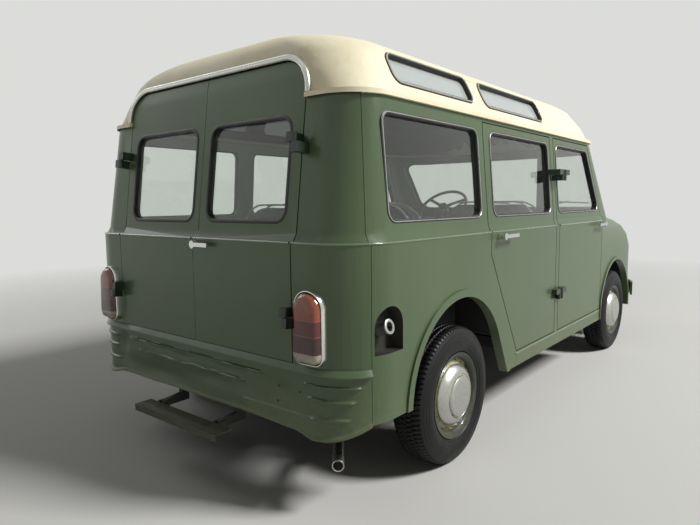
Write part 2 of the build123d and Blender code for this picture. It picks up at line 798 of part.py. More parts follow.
# Roof with gutter, drip moulding over the rear doors and four corner windows
gutter_out = 14
gutter_height = 18
skylight_outlines = [rectangle(x0, x1, skylight_low_z, skylight_high_z) for x0, x1 in skylight_x]


def drip_moulding():
    with BuildPart() as strip:
        add(row_solid(roof_rows, -10))
        add(rear_door_face(24), mode=Mode.INTERSECT)
        add(rear_doors_hole, mode=Mode.SUBTRACT)
        add(box_between((-3000, -1000, 0), (3000, 1000, eave_z)), mode=Mode.SUBTRACT)
        add(row_solid(roof_rows, 10), mode=Mode.SUBTRACT)
    return strip.part


with BuildPart() as roof:
    add(shell.part)
    add(box_between((-3000, -1000, eave_z), (3000, 1000, roof_z + 10)), mode=Mode.INTERSECT)
    gutter_half = eave_half + gutter_out
    gutter_outer = plan_face(eave_z, rear_eave_x - gutter_out, screen_top_x + gutter_out, gutter_half,
                             gutter_half, 170 + gutter_out, 300 + gutter_out, screen_bow)
    extrude(gutter_outer, amount=gutter_height)
    well_half = eave_half - wall
    gutter_well = plan_face(eave_z - 1, rear_eave_x + wall, screen_top_x - wall, well_half, well_half,
                            170 - wall, 300 - wall, screen_bow)
    extrude(gutter_well, amount=gutter_height + 1, mode=Mode.SUBTRACT)
    add(row_solid(roof_rows, wall), mode=Mode.SUBTRACT)
    add(drip_moulding())
    add(rear_doors_hole, mode=Mode.SUBTRACT)
    for outline in skylight_outlines:
        for hand_name, hand in sides:
            low_y, high_y = side_range(hand)
            add(side_prism(outline, low_y, high_y, 0, skylight_r), mode=Mode.SUBTRACT)
save(roof, "roof")

# Rear doors, each one piece from the skirt to the roof
window_inner_y, window_outer_y = rear_window_y
rear_window_r = 55


def rear_window_hole(hand):
    low_y, high_y = sorted((hand * window_inner_y, hand * window_outer_y))
    outline = rectangle(low_y, high_y, window_low_z, window_high_z)
    return rear_prism(outline, rear_face_x - 60, rear_face_x + 260, 0, rear_window_r)


meeting_gap = 13                # half the gap between the doors behind their outer lips
meeting_lip = 12                # thickness of those lips
with BuildPart() as meeting_cut:
    add(body_form(meeting_lip))
    add(box_between((rear_face_x - 60, -meeting_gap, 0), (0, meeting_gap, roof_z)), mode=Mode.INTERSECT)
rear_doors_both = shell_piece(shell.part, rear_door_face(-seam / 2), (meeting_cut.part,))


def rear_door(hand):
    low_y, high_y = sorted((hand * seam / 2, hand * side_out))
    with BuildPart() as door:
        add(rear_doors_both)
        add(box_between((-3000, low_y, 0), (0, high_y, 3000)), mode=Mode.INTERSECT)
        add(rear_window_hole(hand), mode=Mode.SUBTRACT)
        for hinge_z, leaf_width in rear_hinge_table:
            add(rear_hinge(hinge_z, leaf_width, hand, True))
    return door.part


with BuildPart() as rear_door_right:
    add(rear_door(-1))
save(rear_door_right, "rear_door_right")
with BuildPart() as rear_door_left:
    add(rear_door(1))
save(rear_door_left, "rear_door_left")

# Handles of the side and front doors: a lever on a round rose
side_handle_z = 1012
rose_r = 17
lever_out = 44
lever_thick = 12
lever_half = 9
side_handle_x = (rear_axle_x + 388, rear_axle_x + 545)      # the rose, the lever's other end
front_handle_x = (rear_axle_x + 2112, rear_axle_x + 1955)


def door_handle(hand, rose_x, lever_end_x):
    rose_y = sorted((hand * (lower_half - 2), hand * (lower_half + lever_out)))
    lever_y = sorted((hand * (lower_half + lever_out - lever_thick), hand * (lower_half + lever_out)))
    lever_x = sorted((rose_x, lever_end_x))
    with BuildPart() as handle:
        add(bar_y(rose_x, side_handle_z, rose_r, *rose_y))
        add(box_between((lever_x[0], lever_y[0], side_handle_z - lever_half),
                        (lever_x[1], lever_y[1], side_handle_z + lever_half)))
    return handle.part


# Side door on the right, hinged on the post ahead of it
side_window_hole = side_prism(side_window_outline, -side_out, -side_in, 0, window_r)
with BuildPart() as side_door:
    side_door_region = side_prism(side_door_outline, -side_out, -side_in, -seam / 2)
    add(shell_piece(wall_zones[-1], side_door_region, (side_window_hole,)))
    add(door_handle(-1, *side_handle_x))
    for hinge_z in side_hinge_z:
        add(door_hinge_leaf(hinge_z, -1, side_door_hinge_x, -1))
save(side_door, "side_door")


def front_door(hand):
    # front door, hinged on the post behind it
    low_y, high_y = side_range(hand)
    with BuildPart() as door:
        window_hole = side_prism(front_window_outline, low_y, high_y, 0, window_r)
        add(shell_piece(wall_zones[hand], front_door_hole(hand, -seam / 2), (window_hole,)))
        for hinge_z in side_hinge_z:
            add(door_hinge_leaf(hinge_z, hand, front_door_hinge_x, 1))
        add(door_handle(hand, *front_handle_x))
    return door.part


with BuildPart() as front_door_right:
    add(front_door(-1))
save(front_door_right, "front_door_right")
with BuildPart() as front_door_left:
    add(front_door(1))
save(front_door_left, "front_door_left")

# Glass, a sheet that follows the body's form inside each window
def side_glass(outline, hand, corner_r=window_r):
    low_y, high_y = side_range(hand)
    return glass_piece(side_prism(outline, low_y, high_y, -fit_gap, corner_r))


with BuildPart() as front_door_right_glass:
    add(side_glass(front_window_outline, -1))
save(front_door_right_glass, "front_door_right_glass")
with BuildPart() as front_door_left_glass:
    add(side_glass(front_window_outline, 1))
save(front_door_left_glass, "front_door_left_glass")
with BuildPart() as side_door_glass:
    add(side_glass(side_window_outline, -1))
save(side_door_glass, "side_door_glass")


def rear_glass(hand):
    outline = rectangle(*sorted((hand * window_inner_y, hand * window_outer_y)), window_low_z, window_high_z)
    return glass_piece(rear_prism(outline, rear_face_x - 60, rear_face_x + 260, -fit_gap, 55))


with BuildPart() as rear_door_right_glass:
    add(rear_glass(-1))
save(rear_door_right_glass, "rear_door_right_glass")
with BuildPart() as rear_door_left_glass:
    add(rear_glass(1))
save(rear_door_left_glass, "rear_door_left_glass")
with BuildPart() as fixed_glass:
    add(side_glass(quarter_window_outline, -1))
    add(side_glass(quarter_window_outline, 1))
    add(side_glass(side_window_outline, 1))
    add(glass_piece(rear_prism(rectangle(-screen_half, screen_half, screen_low_z, screen_high_z),
                               screen_top_x - 210, screen_base_x + 200, -fit_gap, 70)))
save(fixed_glass, "fixed_glass")
with BuildPart() as skylight_glass:
    for outline in skylight_outlines:
        for hand_name, hand in sides:
            add(side_glass(outline, hand, skylight_r))
save(skylight_glass, "skylight_glass")

# Lamps
with BuildPart() as headlamps:
    for hand_name, hand in sides:
        add(bar_x(hand * headlamp_y, headlamp_z, headlamp_r, nose_front_x - 90, nose_front_x + 8))
save(headlamps, "headlamps")

lamp_low_z = 588
lamp_high_z = 866
lamp_inner_y = rear_door_half + 28
lamp_width = 140
lamp_depth = 44
with BuildPart() as tail_lamps:
    for hand_name, hand in sides:
        with BuildSketch(Plane.YZ.offset(rear_face_x - lamp_depth)) as lens:
            with Locations((hand * (lamp_inner_y + lamp_width / 2), lamp_high_z - lamp_width / 2)):
                Circle(lamp_width / 2)
            with Locations((hand * (lamp_inner_y + lamp_width / 2),
                            (lamp_low_z + lamp_high_z - lamp_width / 2) / 2)):
                Rectangle(lamp_width, lamp_high_z - lamp_width / 2 - lamp_low_z)
            fillet(lens.vertices().group_by(Axis.Z)[0], 24)
        extrude(amount=lamp_depth + 60)
    add(outer_form, mode=Mode.SUBTRACT)
save(tail_lamps, "tail_lamps")

# Chassis: two side rails raised over the rear axle, with crossmembers
rail_points = (
    (rail_rear_x, rail_high_z), (kick_rear_x, rail_high_z), (kick_front_x, rail_low_z),
    (rail_front_x, rail_low_z),
    (rail_front_x, rail_low_z + rail_height), (kick_front_x + 20, rail_low_z + rail_height),
    (kick_rear_x + 20, rail_high_z + rail_height), (rail_rear_x, rail_high_z + rail_height),
)
cross_table = (             # x from the rear axle, its width along x, lower z, upper z
    (-655, 60, rail_high_z, rail_high_z + 90),
    (-150, 50, rail_high_z + 40, rail_high_z + 90),
    (900, 60, rail_low_z + 62, rail_low_z + 98),
    (1700, 60, rail_low_z + 62, rail_low_z + 98),
    (3060, 60, rail_low_z, rail_low_z + 90),
)
outrigger_table = (         # x from the rear axle, lower z, upper z: arms from the rails to the side walls
    (-460, rail_high_z + 20, rail_high_z + 100),
    (860, rail_low_z + 40, rail_low_z + 100),
    (1236, rail_low_z + 20, rail_low_z + 100),
    (2040, rail_low_z + 20, rail_low_z + 100),
)
with BuildPart() as chassis_frame:
    for hand_name, hand in sides:
        low_y, high_y = sorted((hand * (rail_y - rail_width / 2), hand * (rail_y + rail_width / 2)))
        add(side_prism(rail_points, low_y, high_y))
        for arm_x, arm_low, arm_high in outrigger_table:
            arm_y = sorted((hand * (rail_y + rail_width / 2 - 5), hand * (lower_half - wall - fit_gap)))
            add(box_between((rear_axle_x + arm_x - 22, arm_y[0], arm_low),
                            (rear_axle_x + arm_x + 22, arm_y[1], arm_high)))
    for cross_x, cross_width, cross_low, cross_high in cross_table:
        add(box_between((rear_axle_x + cross_x - cross_width / 2, -rail_y, cross_low),
                        (rear_axle_x + cross_x + cross_width / 2, rail_y, cross_high)))
save(chassis_frame, "chassis_frame")

# Steering column line, from the hand wheel's centre forward and down
hand_wheel_x = rear_axle_x + 2030
hand_wheel_y = 330
hand_wheel_z = 1140
column_lean = 40                # degrees from upright
shaft_r = 9


def column_bar(r, near, far):
    # round bar on the column line, between two distances from the hand wheel's centre
    along = (sin(radians(column_lean)), 0, -cos(radians(column_lean)))
    start = (hand_wheel_x + along[0] * near, hand_wheel_y, hand_wheel_z + along[2] * near)
    with BuildPart() as bar:
        with BuildSketch(Plane(origin=start, z_dir=along)):
            Circle(r)
        extrude(amount=far - near)
    return bar.part


# Floor: load floor, cab floor, wheelhouses and the bulkhead ahead of the driver's feet
floor_half = lower_half - wall - fit_gap
house_inner_y = 690
house_half_length = 400
house_top_z = 800
house_wall = 14
toe_x = rear_axle_x + 2440
front_house_inner_y = 545
step_x = post_front_x
front_house_half = 862
anchor_x = rear_axle_x - 250    # middle of the four stretcher anchor holes
anchor_spacing = 400
anchor_r = 6
with BuildPart() as floor_pan:
    rear_floor_face = plan_face(rear_floor_z, rear_face_x + wall + fit_gap, step_x, floor_half, floor_half,
                                lower_corner_r - wall - fit_gap, 1, 0)
    extrude(rear_floor_face, amount=floor_thickness)
    add(box_between((step_x - 26, -floor_half, cab_floor_z), (step_x, floor_half, rear_floor_z + 5)))
    cab_floor_top_z = cab_floor_z + floor_thickness
    add(box_between((step_x - 5, -floor_half, cab_floor_z), (front_door_x, floor_half, cab_floor_top_z)))
    add(box_between((front_door_x - 5, -front_house_inner_y, cab_floor_z),
                    (toe_x, front_house_inner_y, cab_floor_top_z)))
    add(box_between((toe_x - 24, -front_house_inner_y, cab_floor_z), (toe_x, front_house_inner_y, 1000)))
    for hand_name, hand in sides:
        inner, outer = sorted((hand * house_inner_y, hand * side_out))
        add(box_between((rear_axle_x - house_half_length, inner, 0),
                        (rear_axle_x + house_half_length, outer, house_top_z)),
            mode=Mode.SUBTRACT)
        wall_y = sorted((hand * (house_inner_y - house_wall), hand * house_inner_y))
        roof_y = sorted((hand * (house_inner_y - house_wall), hand * floor_half))
        add(box_between((rear_axle_x - house_half_length - house_wall, wall_y[0], rear_floor_z),
                        (rear_axle_x + house_half_length + house_wall, wall_y[1], house_top_z)))
        add(box_between((rear_axle_x - house_half_length - house_wall, roof_y[0], house_top_z),
                        (rear_axle_x + house_half_length + house_wall, roof_y[1], house_top_z + house_wall)))
        for end in (-1, 1):
            end_x = sorted((rear_axle_x + end * house_half_length,
                            rear_axle_x + end * (house_half_length + house_wall)))
            add(box_between((end_x[0], roof_y[0], rear_floor_z),
                            (end_x[1], roof_y[1], house_top_z + house_wall)))
        front_y = sorted((hand * (front_house_inner_y - 4), hand * front_house_half))
        add(box_between((front_door_x - 16, front_y[0], cab_floor_z),
                        (front_door_x - 2, front_y[1], house_top_z)))
        add(box_between((front_door_x - 16, front_y[0], house_top_z),
                        (toe_x, front_y[1], house_top_z + house_wall)))
        add(box_between((toe_x - 14, front_y[0], house_top_z), (toe_x, front_y[1], 885)))
        side_y = sorted((hand * (front_house_inner_y - 10), hand * (front_house_inner_y + 4)))
        add(box_between((front_door_x - 16, side_y[0], cab_floor_z), (toe_x, side_y[1], house_top_z + 5)))
    with BuildSketch(Plane.XY.offset(rear_floor_z)):
        with Locations((anchor_x, 0)):
            with GridLocations(anchor_spacing, anchor_spacing, 2, 2):
                Circle(anchor_r)
    extrude(amount=floor_thickness, mode=Mode.SUBTRACT)
    add(bar_z(recess_x - 22, -733, 46, 400, 700), mode=Mode.SUBTRACT)
    add(column_bar(34, 100, 900), mode=Mode.SUBTRACT)
save(floor_pan, "floor_pan")

# Engine and gearbox as plain blocks, with the shaft to the rear axle
shaft_z = 305
with BuildPart() as power_train:
    add(box_between((rear_axle_x + 2610, -210, 250), (rear_axle_x + 3020, 210, 840)))
    add(box_between((rear_axle_x + 2180, -120, 238), (rear_axle_x + 2610, 120, 378)))
    for hand_name, hand in sides:
        mount_y = sorted((hand * 205, hand * (rail_y - rail_width / 2)))
        add(box_between((rear_axle_x + 2800, mount_y[0], 310), (rear_axle_x + 2860, mount_y[1], 370)))
    with BuildSketch(Plane.YZ.offset(rear_axle_x + 100)):
        with Locations((0, shaft_z)):
            Circle(27)
    extrude(amount=2085)
save(power_train, "power_train")

# Rear axle with its gear housing and stub ends
wheel_mid_y = wheel_face_y - tyre_width / 2
with BuildPart() as rear_axle:
    tube_end_y = wheel_mid_y - 92
    add(bar_y(rear_axle_x, tyre_r, 38, -tube_end_y, tube_end_y))
    add(bar_y(rear_axle_x, tyre_r, 98, -110, 110))
    for hand_name, hand in sides:
        add(bar_y(rear_axle_x, tyre_r, 120, *sorted((hand * (tube_end_y - 6), hand * (tube_end_y + 4)))))
        stub_y = sorted((hand * (tube_end_y - 3), hand * (wheel_mid_y + stub_reach)))
        add(bar_y(rear_axle_x, tyre_r, bearing_r, *stub_y))
save(rear_axle, "rear_axle")

# Springs and the front axle beam with its two kingpin eyes
spring_half = 520
spring_thick = 34
beam_low_z = 172
beam_high_z = 232
beam_eye_r = 36
eye_step = 8                    # the beam's eye starts this far above the beam's underside
eye_high_z = 360
yoke_low_z = 164
yoke_high_z = 390
yoke_half = 30
steering_arm = 160
with BuildPart() as suspension:
    for hand_name, hand in sides:
        spring_y = hand * rail_y
        for axle_x, seat_z, end_z in (
            (rear_axle_x, tyre_r + 38 + fit_gap, rail_high_z), (front_axle_x, beam_high_z, rail_low_z),
        ):
            with BuildSketch(Plane.XZ.offset(-spring_y - 28)):
                with BuildLine():
                    ThreePointArc((axle_x - spring_half, end_z), (axle_x, seat_z + spring_thick),
                                  (axle_x + spring_half, end_z))
                    Line((axle_x + spring_half, end_z), (axle_x + spring_half, end_z - spring_thick))
                    ThreePointArc((axle_x + spring_half, end_z - spring_thick), (axle_x, seat_z),
                                  (axle_x - spring_half, end_z - spring_thick))
                    Line((axle_x - spring_half, end_z - spring_thick), (axle_x - spring_half, end_z))
                make_face()
            extrude(amount=56)
save(suspension, "suspension")

with BuildPart() as front_beam:
    add(box_between((front_axle_x - 30, -kingpin_y, beam_low_z), (front_axle_x + 30, kingpin_y, beam_high_z)))
    for hand_name, hand in sides:
        knuckle_room_y = sorted((hand * (kingpin_y - 45), hand * (kingpin_y + 45)))
        add(box_between((front_axle_x - 60, knuckle_room_y[0], beam_low_z - 1),
                        (front_axle_x + 60, knuckle_room_y[1], beam_low_z + eye_step)), mode=Mode.SUBTRACT)
        add(bar_z(front_axle_x, hand * kingpin_y, beam_eye_r, beam_low_z + eye_step, eye_high_z))
        add(bar_z(front_axle_x, hand * kingpin_y, kingpin_r + bearing_play, beam_low_z, eye_high_z),
            mode=Mode.SUBTRACT)
save(front_beam, "front_beam")


def knuckle_piece(hand):
    # steering knuckle: kingpin, yoke over and under the beam's eye, post, stub and steering arm
    with BuildPart() as piece:
        for low_z, high_z in ((yoke_low_z, beam_low_z + eye_step - 1), (eye_high_z + 1, yoke_high_z)):
            with BuildSketch(Plane.XY.offset(low_z)):
                with Locations((front_axle_x, hand * kingpin_y)):
                    Circle(beam_eye_r - 2)
                with Locations((front_axle_x, hand * (kingpin_y + 29))):
                    Rectangle(2 * yoke_half, 58)
            extrude(amount=high_z - low_z)
        add(bar_z(front_axle_x, hand * kingpin_y, kingpin_r, yoke_low_z, yoke_high_z))
        post_y = sorted((hand * (kingpin_y + 40), hand * (kingpin_y + 58)))
        add(box_between((front_axle_x - yoke_half, post_y[0], yoke_low_z),
                        (front_axle_x + yoke_half, post_y[1], yoke_high_z)))
        stub_y = sorted((hand * (kingpin_y + 50), hand * (wheel_mid_y + stub_reach)))
        add(bar_y(front_axle_x, tyre_r, bearing_r, *stub_y))
        arm_y = sorted((hand * (kingpin_y - 12), hand * (kingpin_y + 12)))
        add(box_between((front_axle_x - steering_arm, arm_y[0], yoke_low_z),
                        (front_axle_x, arm_y[1], beam_low_z + eye_step - 1)))
    return piece.part


with BuildPart() as knuckle_right:
    add(knuckle_piece(-1))
save(knuckle_right, "knuckle_right")
with BuildPart() as knuckle_left:
    add(knuckle_piece(1))
save(knuckle_left, "knuckle_left")

# Wheels: the profile is given as distance from the wheel's middle plane, outwards, and radius
tyre_points = (
    (-60, 179), (-65, 195.3), (-75, 195.6), (-84, 214), (-84, 262), (-74, 298), (-60, 313),
    (60, 313), (74, 298), (84, 262), (84, 214), (75, 195.6), (65, 195.3), (60, 179),
)
rim_points = (
    (-70, 182), (-74, 195), (-66, 195), (-62, 178), (-30, 166),
    (30, 166), (62, 178), (66, 195), (74, 195), (70, 182),
    (66, 172), (40, 158), (46, 140), (66, 128), (80, 118), (92, 80), (96, 40), (96, 0), (70, 0), (70, 20),
    (-46, 20), (-46, 60), (20, 60), (24, 150), (-30, 158), (-66, 170),
)


def wheel_plane(x, hand):
    # sketch plane whose local x runs outwards along the axle and local y up
    return Plane(origin=(x, hand * wheel_mid_y, tyre_r), x_dir=(0, hand, 0), z_dir=(hand, 0, 0))


def turned(points, x, hand):
    plane = wheel_plane(x, hand)
    with BuildPart() as body:
        with BuildSketch(plane):
            with BuildLine():
                Polyline(*points, close=True)
            make_face()
        revolve(axis=Axis((x, hand * wheel_mid_y, tyre_r), (0, hand, 0)))
    return body.part


wheel_table = (             # name, axle x, hand
    ("rear_right", rear_axle_x, -1),
    ("rear_left", rear_axle_x, 1),
    ("front_right", front_axle_x, -1),
    ("front_left", front_axle_x, 1),
)
for wheel_name, wheel_x, hand in wheel_table:
    with BuildPart() as tyre:
        add(turned(tyre_points, wheel_x, hand))
    save(tyre, f"tyre_{wheel_name}")
    with BuildPart() as rim:
        add(turned(rim_points, wheel_x, hand))
        bore_y = sorted((hand * (wheel_mid_y - 50), hand * (wheel_mid_y + stub_reach + 3)))
        add(bar_y(wheel_x, tyre_r, bearing_r + bearing_play, *bore_y), mode=Mode.SUBTRACT)
    save(rim, f"rim_{wheel_name}")

# Handle of the rear doors: a lever on a round rose
handle_z = 1010
handle_y = -38
handle_out = 26
with BuildPart() as rear_handle:
    add(bar_x(handle_y, handle_z, 17, rear_face_x - handle_out - 6, rear_face_x))
    add(box_between((rear_face_x - handle_out - 6, handle_y - 104, handle_z - 9),
                    (rear_face_x - handle_out + 4, handle_y, handle_z + 9)))
save(rear_handle, "rear_handle")

# Folding step under the rear doors, on two brackets from the chassis
step_hinge_x = rear_face_x - 36
step_hinge_z = 250
step_half = 300
step_rear_x = -length / 2
step_plate = 8
step_lip = 26
step_pin_r = 6
bracket_y = 210
bracket_half = 12
ear_gap = 1
ear_width = 12
with BuildPart() as rear_step:
    add(box_between((step_rear_x, -step_half, step_hinge_z - step_plate / 2),
                    (step_hinge_x - 20, step_half, step_hinge_z + step_plate / 2)))
    add(box_between((step_rear_x, -step_half, step_hinge_z - step_lip),
                    (step_rear_x + 6, step_half, step_hinge_z + step_plate / 2)))
    for hand_name, hand in sides:
        for ear_side in (-1, 1):
            ear_mid = hand * bracket_y + ear_side * (bracket_half + ear_gap + ear_width / 2)
            add(box_between((step_hinge_x - 24, ear_mid - ear_width / 2, step_hinge_z - 12),
                            (step_hinge_x + 10, ear_mid + ear_width / 2, step_hinge_z + 12)))
        pin_half = bracket_half + ear_gap + ear_width / 2
        add(bar_y(step_hinge_x, step_hinge_z, step_pin_r,
                  hand * bracket_y - pin_half, hand * bracket_y + pin_half))
save(rear_step, "rear_step")

with BuildPart() as step_brackets:
    for hand_name, hand in sides:
        arm_points = (
            (step_hinge_x - 14, step_hinge_z - 14), (rail_rear_x + 50, step_hinge_z - 14),
            (rail_rear_x + 62, rail_high_z), (rail_rear_x + 10, rail_high_z),
            (rail_rear_x + 10, step_hinge_z + 26), (step_hinge_x - 14, step_hinge_z + 14),
        )
        add(side_prism(arm_points, hand * bracket_y - bracket_half, hand * bracket_y + bracket_half))
        add(bar_y(step_hinge_x, step_hinge_z, step_pin_r + hinge_play,
                  hand * bracket_y - bracket_half - 1, hand * bracket_y + bracket_half + 1),
            mode=Mode.SUBTRACT)
save(step_brackets, "step_brackets")

# Fuel tank between the rails, with its open filler pipe ending in the recess
tank_front_x = rear_axle_x - 190
tank_rear_x = rear_axle_x - 600
tank_half = 340
tank_low_z = 262
tank_high_z = 405
pipe_r = 21
pipe_wall = 3
pipe_points = (
    (recess_x, -lower_half + 8, recess_low_z + 100),
    (recess_x, -lower_half + 150, recess_low_z + 60),
    (recess_x - 40, -lower_half + 230, 400),
    (recess_x - 40, -560, 335),
    (recess_x - 40, -tank_half + 5, 335),
)
with BuildPart() as fuel_tank:
    add(box_between((tank_rear_x, -tank_half, tank_low_z), (tank_front_x, tank_half, tank_high_z)))
    fillet(fuel_tank.edges().filter_by(Axis.Y), 30)
    for ear_x in (tank_rear_x + 60, tank_front_x - 60):
        # ears under both rails
        add(box_between((ear_x - 20, -rail_y, tank_high_z - 12), (ear_x + 20, rail_y, rail_high_z - fit_gap)))
    with BuildLine() as pipe_path:
        FilletPolyline(*pipe_points, radius=50)
    with BuildSketch(Plane(origin=pipe_path.line @ 0, z_dir=pipe_path.line % 0)):
        Circle(pipe_r)
    sweep(path=pipe_path.line)
    with BuildSketch(Plane(origin=pipe_path.line @ 0, z_dir=pipe_path.line % 0)):
        Circle(pipe_r - pipe_wall)
    extrude(amount=60, mode=Mode.SUBTRACT)
save(fuel_tank, "fuel_tank")

# Exhaust: pipe, silencer and a tail end that turns out to the right rear corner
exhaust_r = 21
silencer_r = 62
exhaust_points = (
    (rear_axle_x + 2700, -250, 285),
    (rear_axle_x + 2450, -300, 262),
    (rear_axle_x + 700, -300, 262),
    (rear_axle_x + 300, -560, 222),
    (rear_axle_x - 400, -560, 222),
    (rear_axle_x - 690, -800, 205),
)
hanger_table = (            # x, y, upper end
    (rear_axle_x + 1235, -300, cab_floor_z),
    (rear_axle_x - 330, -560, rear_floor_z),
)
with BuildPart() as exhaust:
    with BuildLine() as exhaust_path:
        FilletPolyline(*exhaust_points, radius=80)
    with BuildSketch(Plane(origin=exhaust_path.line @ 0, z_dir=exhaust_path.line % 0)):
        Circle(exhaust_r)
    sweep(path=exhaust_path.line)
    with BuildSketch(Plane(origin=exhaust_path.line @ 1, z_dir=exhaust_path.line % 1)):
        Circle(exhaust_r - 2)
    extrude(amount=-60, mode=Mode.SUBTRACT)
    add(bar_x(-300, 262, silencer_r, rear_axle_x + 1000, rear_axle_x + 1450))
    for hang_x, hang_y, hang_top in hanger_table:
        add(box_between((hang_x - 12, hang_y - 2, 235), (hang_x + 12, hang_y + 2, hang_top)))
save(exhaust, "exhaust")

# Seats, one closed form each: cab seats and two benches in the back
cushion_height = 110
cushion_length = 440
back_height = 470
back_depth = 95
# columns: x of the back's rear face from the rear axle, middle y, width, floor height, top of the back
seat_table = (
    (1300, -430, 700, cab_floor_z + floor_thickness, 1185),
    (1300, 470, 560, cab_floor_z + floor_thickness, 1185),
    (130, 0, 1240, rear_floor_z + floor_thickness, 1180),
)


def seat_form(back_x, mid_y, width, floor_z, top_z):
    seat_z = top_z - back_height - cushion_height
    points = (
        (back_x, seat_z), (back_x + cushion_length + back_depth, seat_z),
        (back_x + cushion_length + back_depth, seat_z + cushion_height + 20),
        (back_x + back_depth + 30, seat_z + cushion_height), (back_x + back_depth - 20, top_z),
        (back_x - 60, top_z),
    )
    with BuildPart() as cushion:
        add(side_prism(points, mid_y - width / 2, mid_y + width / 2))
        fillet(cushion.edges().filter_by(Axis.Y), 18)
    return cushion.part


with BuildPart() as seats:
    for back_x, mid_y, width, floor_z, top_z in seat_table:
        add(seat_form(rear_axle_x + back_x, mid_y, width, floor_z, top_z))
save(seats, "seats")

with BuildPart() as seat_frames:
    for back_x, mid_y, width, floor_z, top_z in seat_table:
        seat_z = top_z - back_height - cushion_height
        for leg_x in (rear_axle_x + back_x + 60, rear_axle_x + back_x + 440):
            for leg_y in (mid_y - width / 2 + 60, mid_y + width / 2 - 60):
                add(box_between((leg_x - 14, leg_y - 14, floor_z), (leg_x + 14, leg_y + 14, seat_z - 24)))
        add(box_between((rear_axle_x + back_x + 30, mid_y - width / 2 + 30, seat_z - 26),
                        (rear_axle_x + back_x + 470, mid_y + width / 2 - 30, seat_z - 0.3)))
save(seat_frames, "seat_frames")

# Dashboard with the steering column's tube
dash_front_x = toe_x - 24 - fit_gap
dash_rear_x = rear_axle_x + 2185
with BuildPart() as dashboard:
    dash_points = (
        (dash_front_x, 822), (dash_front_x, 1042), (dash_rear_x + 60, 1046),
        (dash_rear_x + 10, 1020), (dash_rear_x, 880),
        (dash_rear_x + 40, 822),
    )
    add(side_prism(dash_points, -800, 800))
    add(column_bar(24, 60, 700))
    add(column_bar(shaft_r + bearing_play, 50, 130), mode=Mode.SUBTRACT)
save(dashboard, "dashboard")

# Steering wheel: rim, three spokes, hub and shaft
hand_wheel_r = 200
hand_rim_r = 12
hand_wheel_plane = Plane(origin=(hand_wheel_x, hand_wheel_y, hand_wheel_z), x_dir=(0, 1, 0),
                         z_dir=(-sin(radians(column_lean)), 0, cos(radians(column_lean))))
with BuildPart() as steering_wheel:
    rim_centre = hand_wheel_plane.from_local_coords((hand_wheel_r, 0, 0))
    with BuildSketch(Plane(origin=rim_centre, x_dir=(0, 1, 0), z_dir=hand_wheel_plane.y_dir)):
        Circle(hand_rim_r)
    revolve(axis=Axis(hand_wheel_plane.origin, hand_wheel_plane.z_dir))
    with BuildSketch(hand_wheel_plane.offset(-8)):
        with PolarLocations(hand_wheel_r / 2, 3, start_angle=90):
            Rectangle(hand_wheel_r - 6, 22)
    extrude(amount=12)
    add(column_bar(34, -18, 58))
    add(column_bar(shaft_r, 50, 128))
save(steering_wheel, "steering_wheel")
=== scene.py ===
import bpy
import bmesh
import json
import math
from mathutils import Matrix, Vector, noise


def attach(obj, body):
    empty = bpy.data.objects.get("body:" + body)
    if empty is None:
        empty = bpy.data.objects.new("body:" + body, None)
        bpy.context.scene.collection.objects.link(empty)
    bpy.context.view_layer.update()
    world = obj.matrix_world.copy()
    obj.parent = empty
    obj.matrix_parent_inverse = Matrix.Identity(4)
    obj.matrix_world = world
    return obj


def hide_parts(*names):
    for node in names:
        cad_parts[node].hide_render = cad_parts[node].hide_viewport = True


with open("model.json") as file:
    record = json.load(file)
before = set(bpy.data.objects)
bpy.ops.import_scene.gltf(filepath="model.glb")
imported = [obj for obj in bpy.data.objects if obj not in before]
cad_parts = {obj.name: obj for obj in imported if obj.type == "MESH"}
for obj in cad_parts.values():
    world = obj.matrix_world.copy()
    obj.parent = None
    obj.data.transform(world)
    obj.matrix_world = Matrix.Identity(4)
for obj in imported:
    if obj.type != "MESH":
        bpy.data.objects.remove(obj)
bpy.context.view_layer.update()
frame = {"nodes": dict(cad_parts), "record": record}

nodes = frame["nodes"]
print("frame loaded:", len(nodes), "nodes")

# Places shared by several pieces, in metres from the model's own origin
body = {
    "rearAxle": -1.265, "frontAxle": 1.295, "tyreRadius": 0.313, "wheelFace": 0.930,
    "lowerHalf": 0.928, "waistHalf": 0.908, "waistZ": 1.070, "eaveHalf": 0.866, "eaveZ": 1.580,
    "beltZ": 1.035, "rearFace": -1.995, "rearWaist": -1.960, "rearEave": -1.895,
    "cornerX": -1.775, "cornerY": 0.708, "cornerRadius": 0.220,
    "sides": {"right": -1, "left": 1},
}


# Shader nodes

def hexColour(text):
    # sRGB hex to linear
    parts = [int(text[i:i + 2], 16) / 255 for i in (1, 3, 5)]
    return [c / 12.92 if c < 0.04045 else ((c + 0.055) / 1.055) ** 2.4 for c in parts] + [1]


def setNode(tree, node, settings):
    # a setting is a property, a socket's value, a hex colour, or the socket that feeds it
    for name, value in settings.items():
        if not isinstance(name, int) and name not in node.inputs:
            setattr(node, name, value)
        elif isinstance(value, bpy.types.NodeSocket):
            tree.links.new(value, node.inputs[name])
        else:
            node.inputs[name].default_value = hexColour(value) if isinstance(value, str) else value
    return node


def addNode(tree, kind, settings, output=0):
    # adds a node with its settings and links, and gives one of its outputs
    return setNode(tree, tree.nodes.new("ShaderNode" + kind), settings).outputs[output]


def newMaterial(name):
    # a principled shader, and the place on the object in metres
    material = bpy.data.materials.new(name)
    material.use_nodes = True
    tree = material.node_tree
    return material, tree, tree.nodes["Principled BSDF"], addNode(tree, "TexCoord", {}, "Object")


# Materials, each named for the real finish

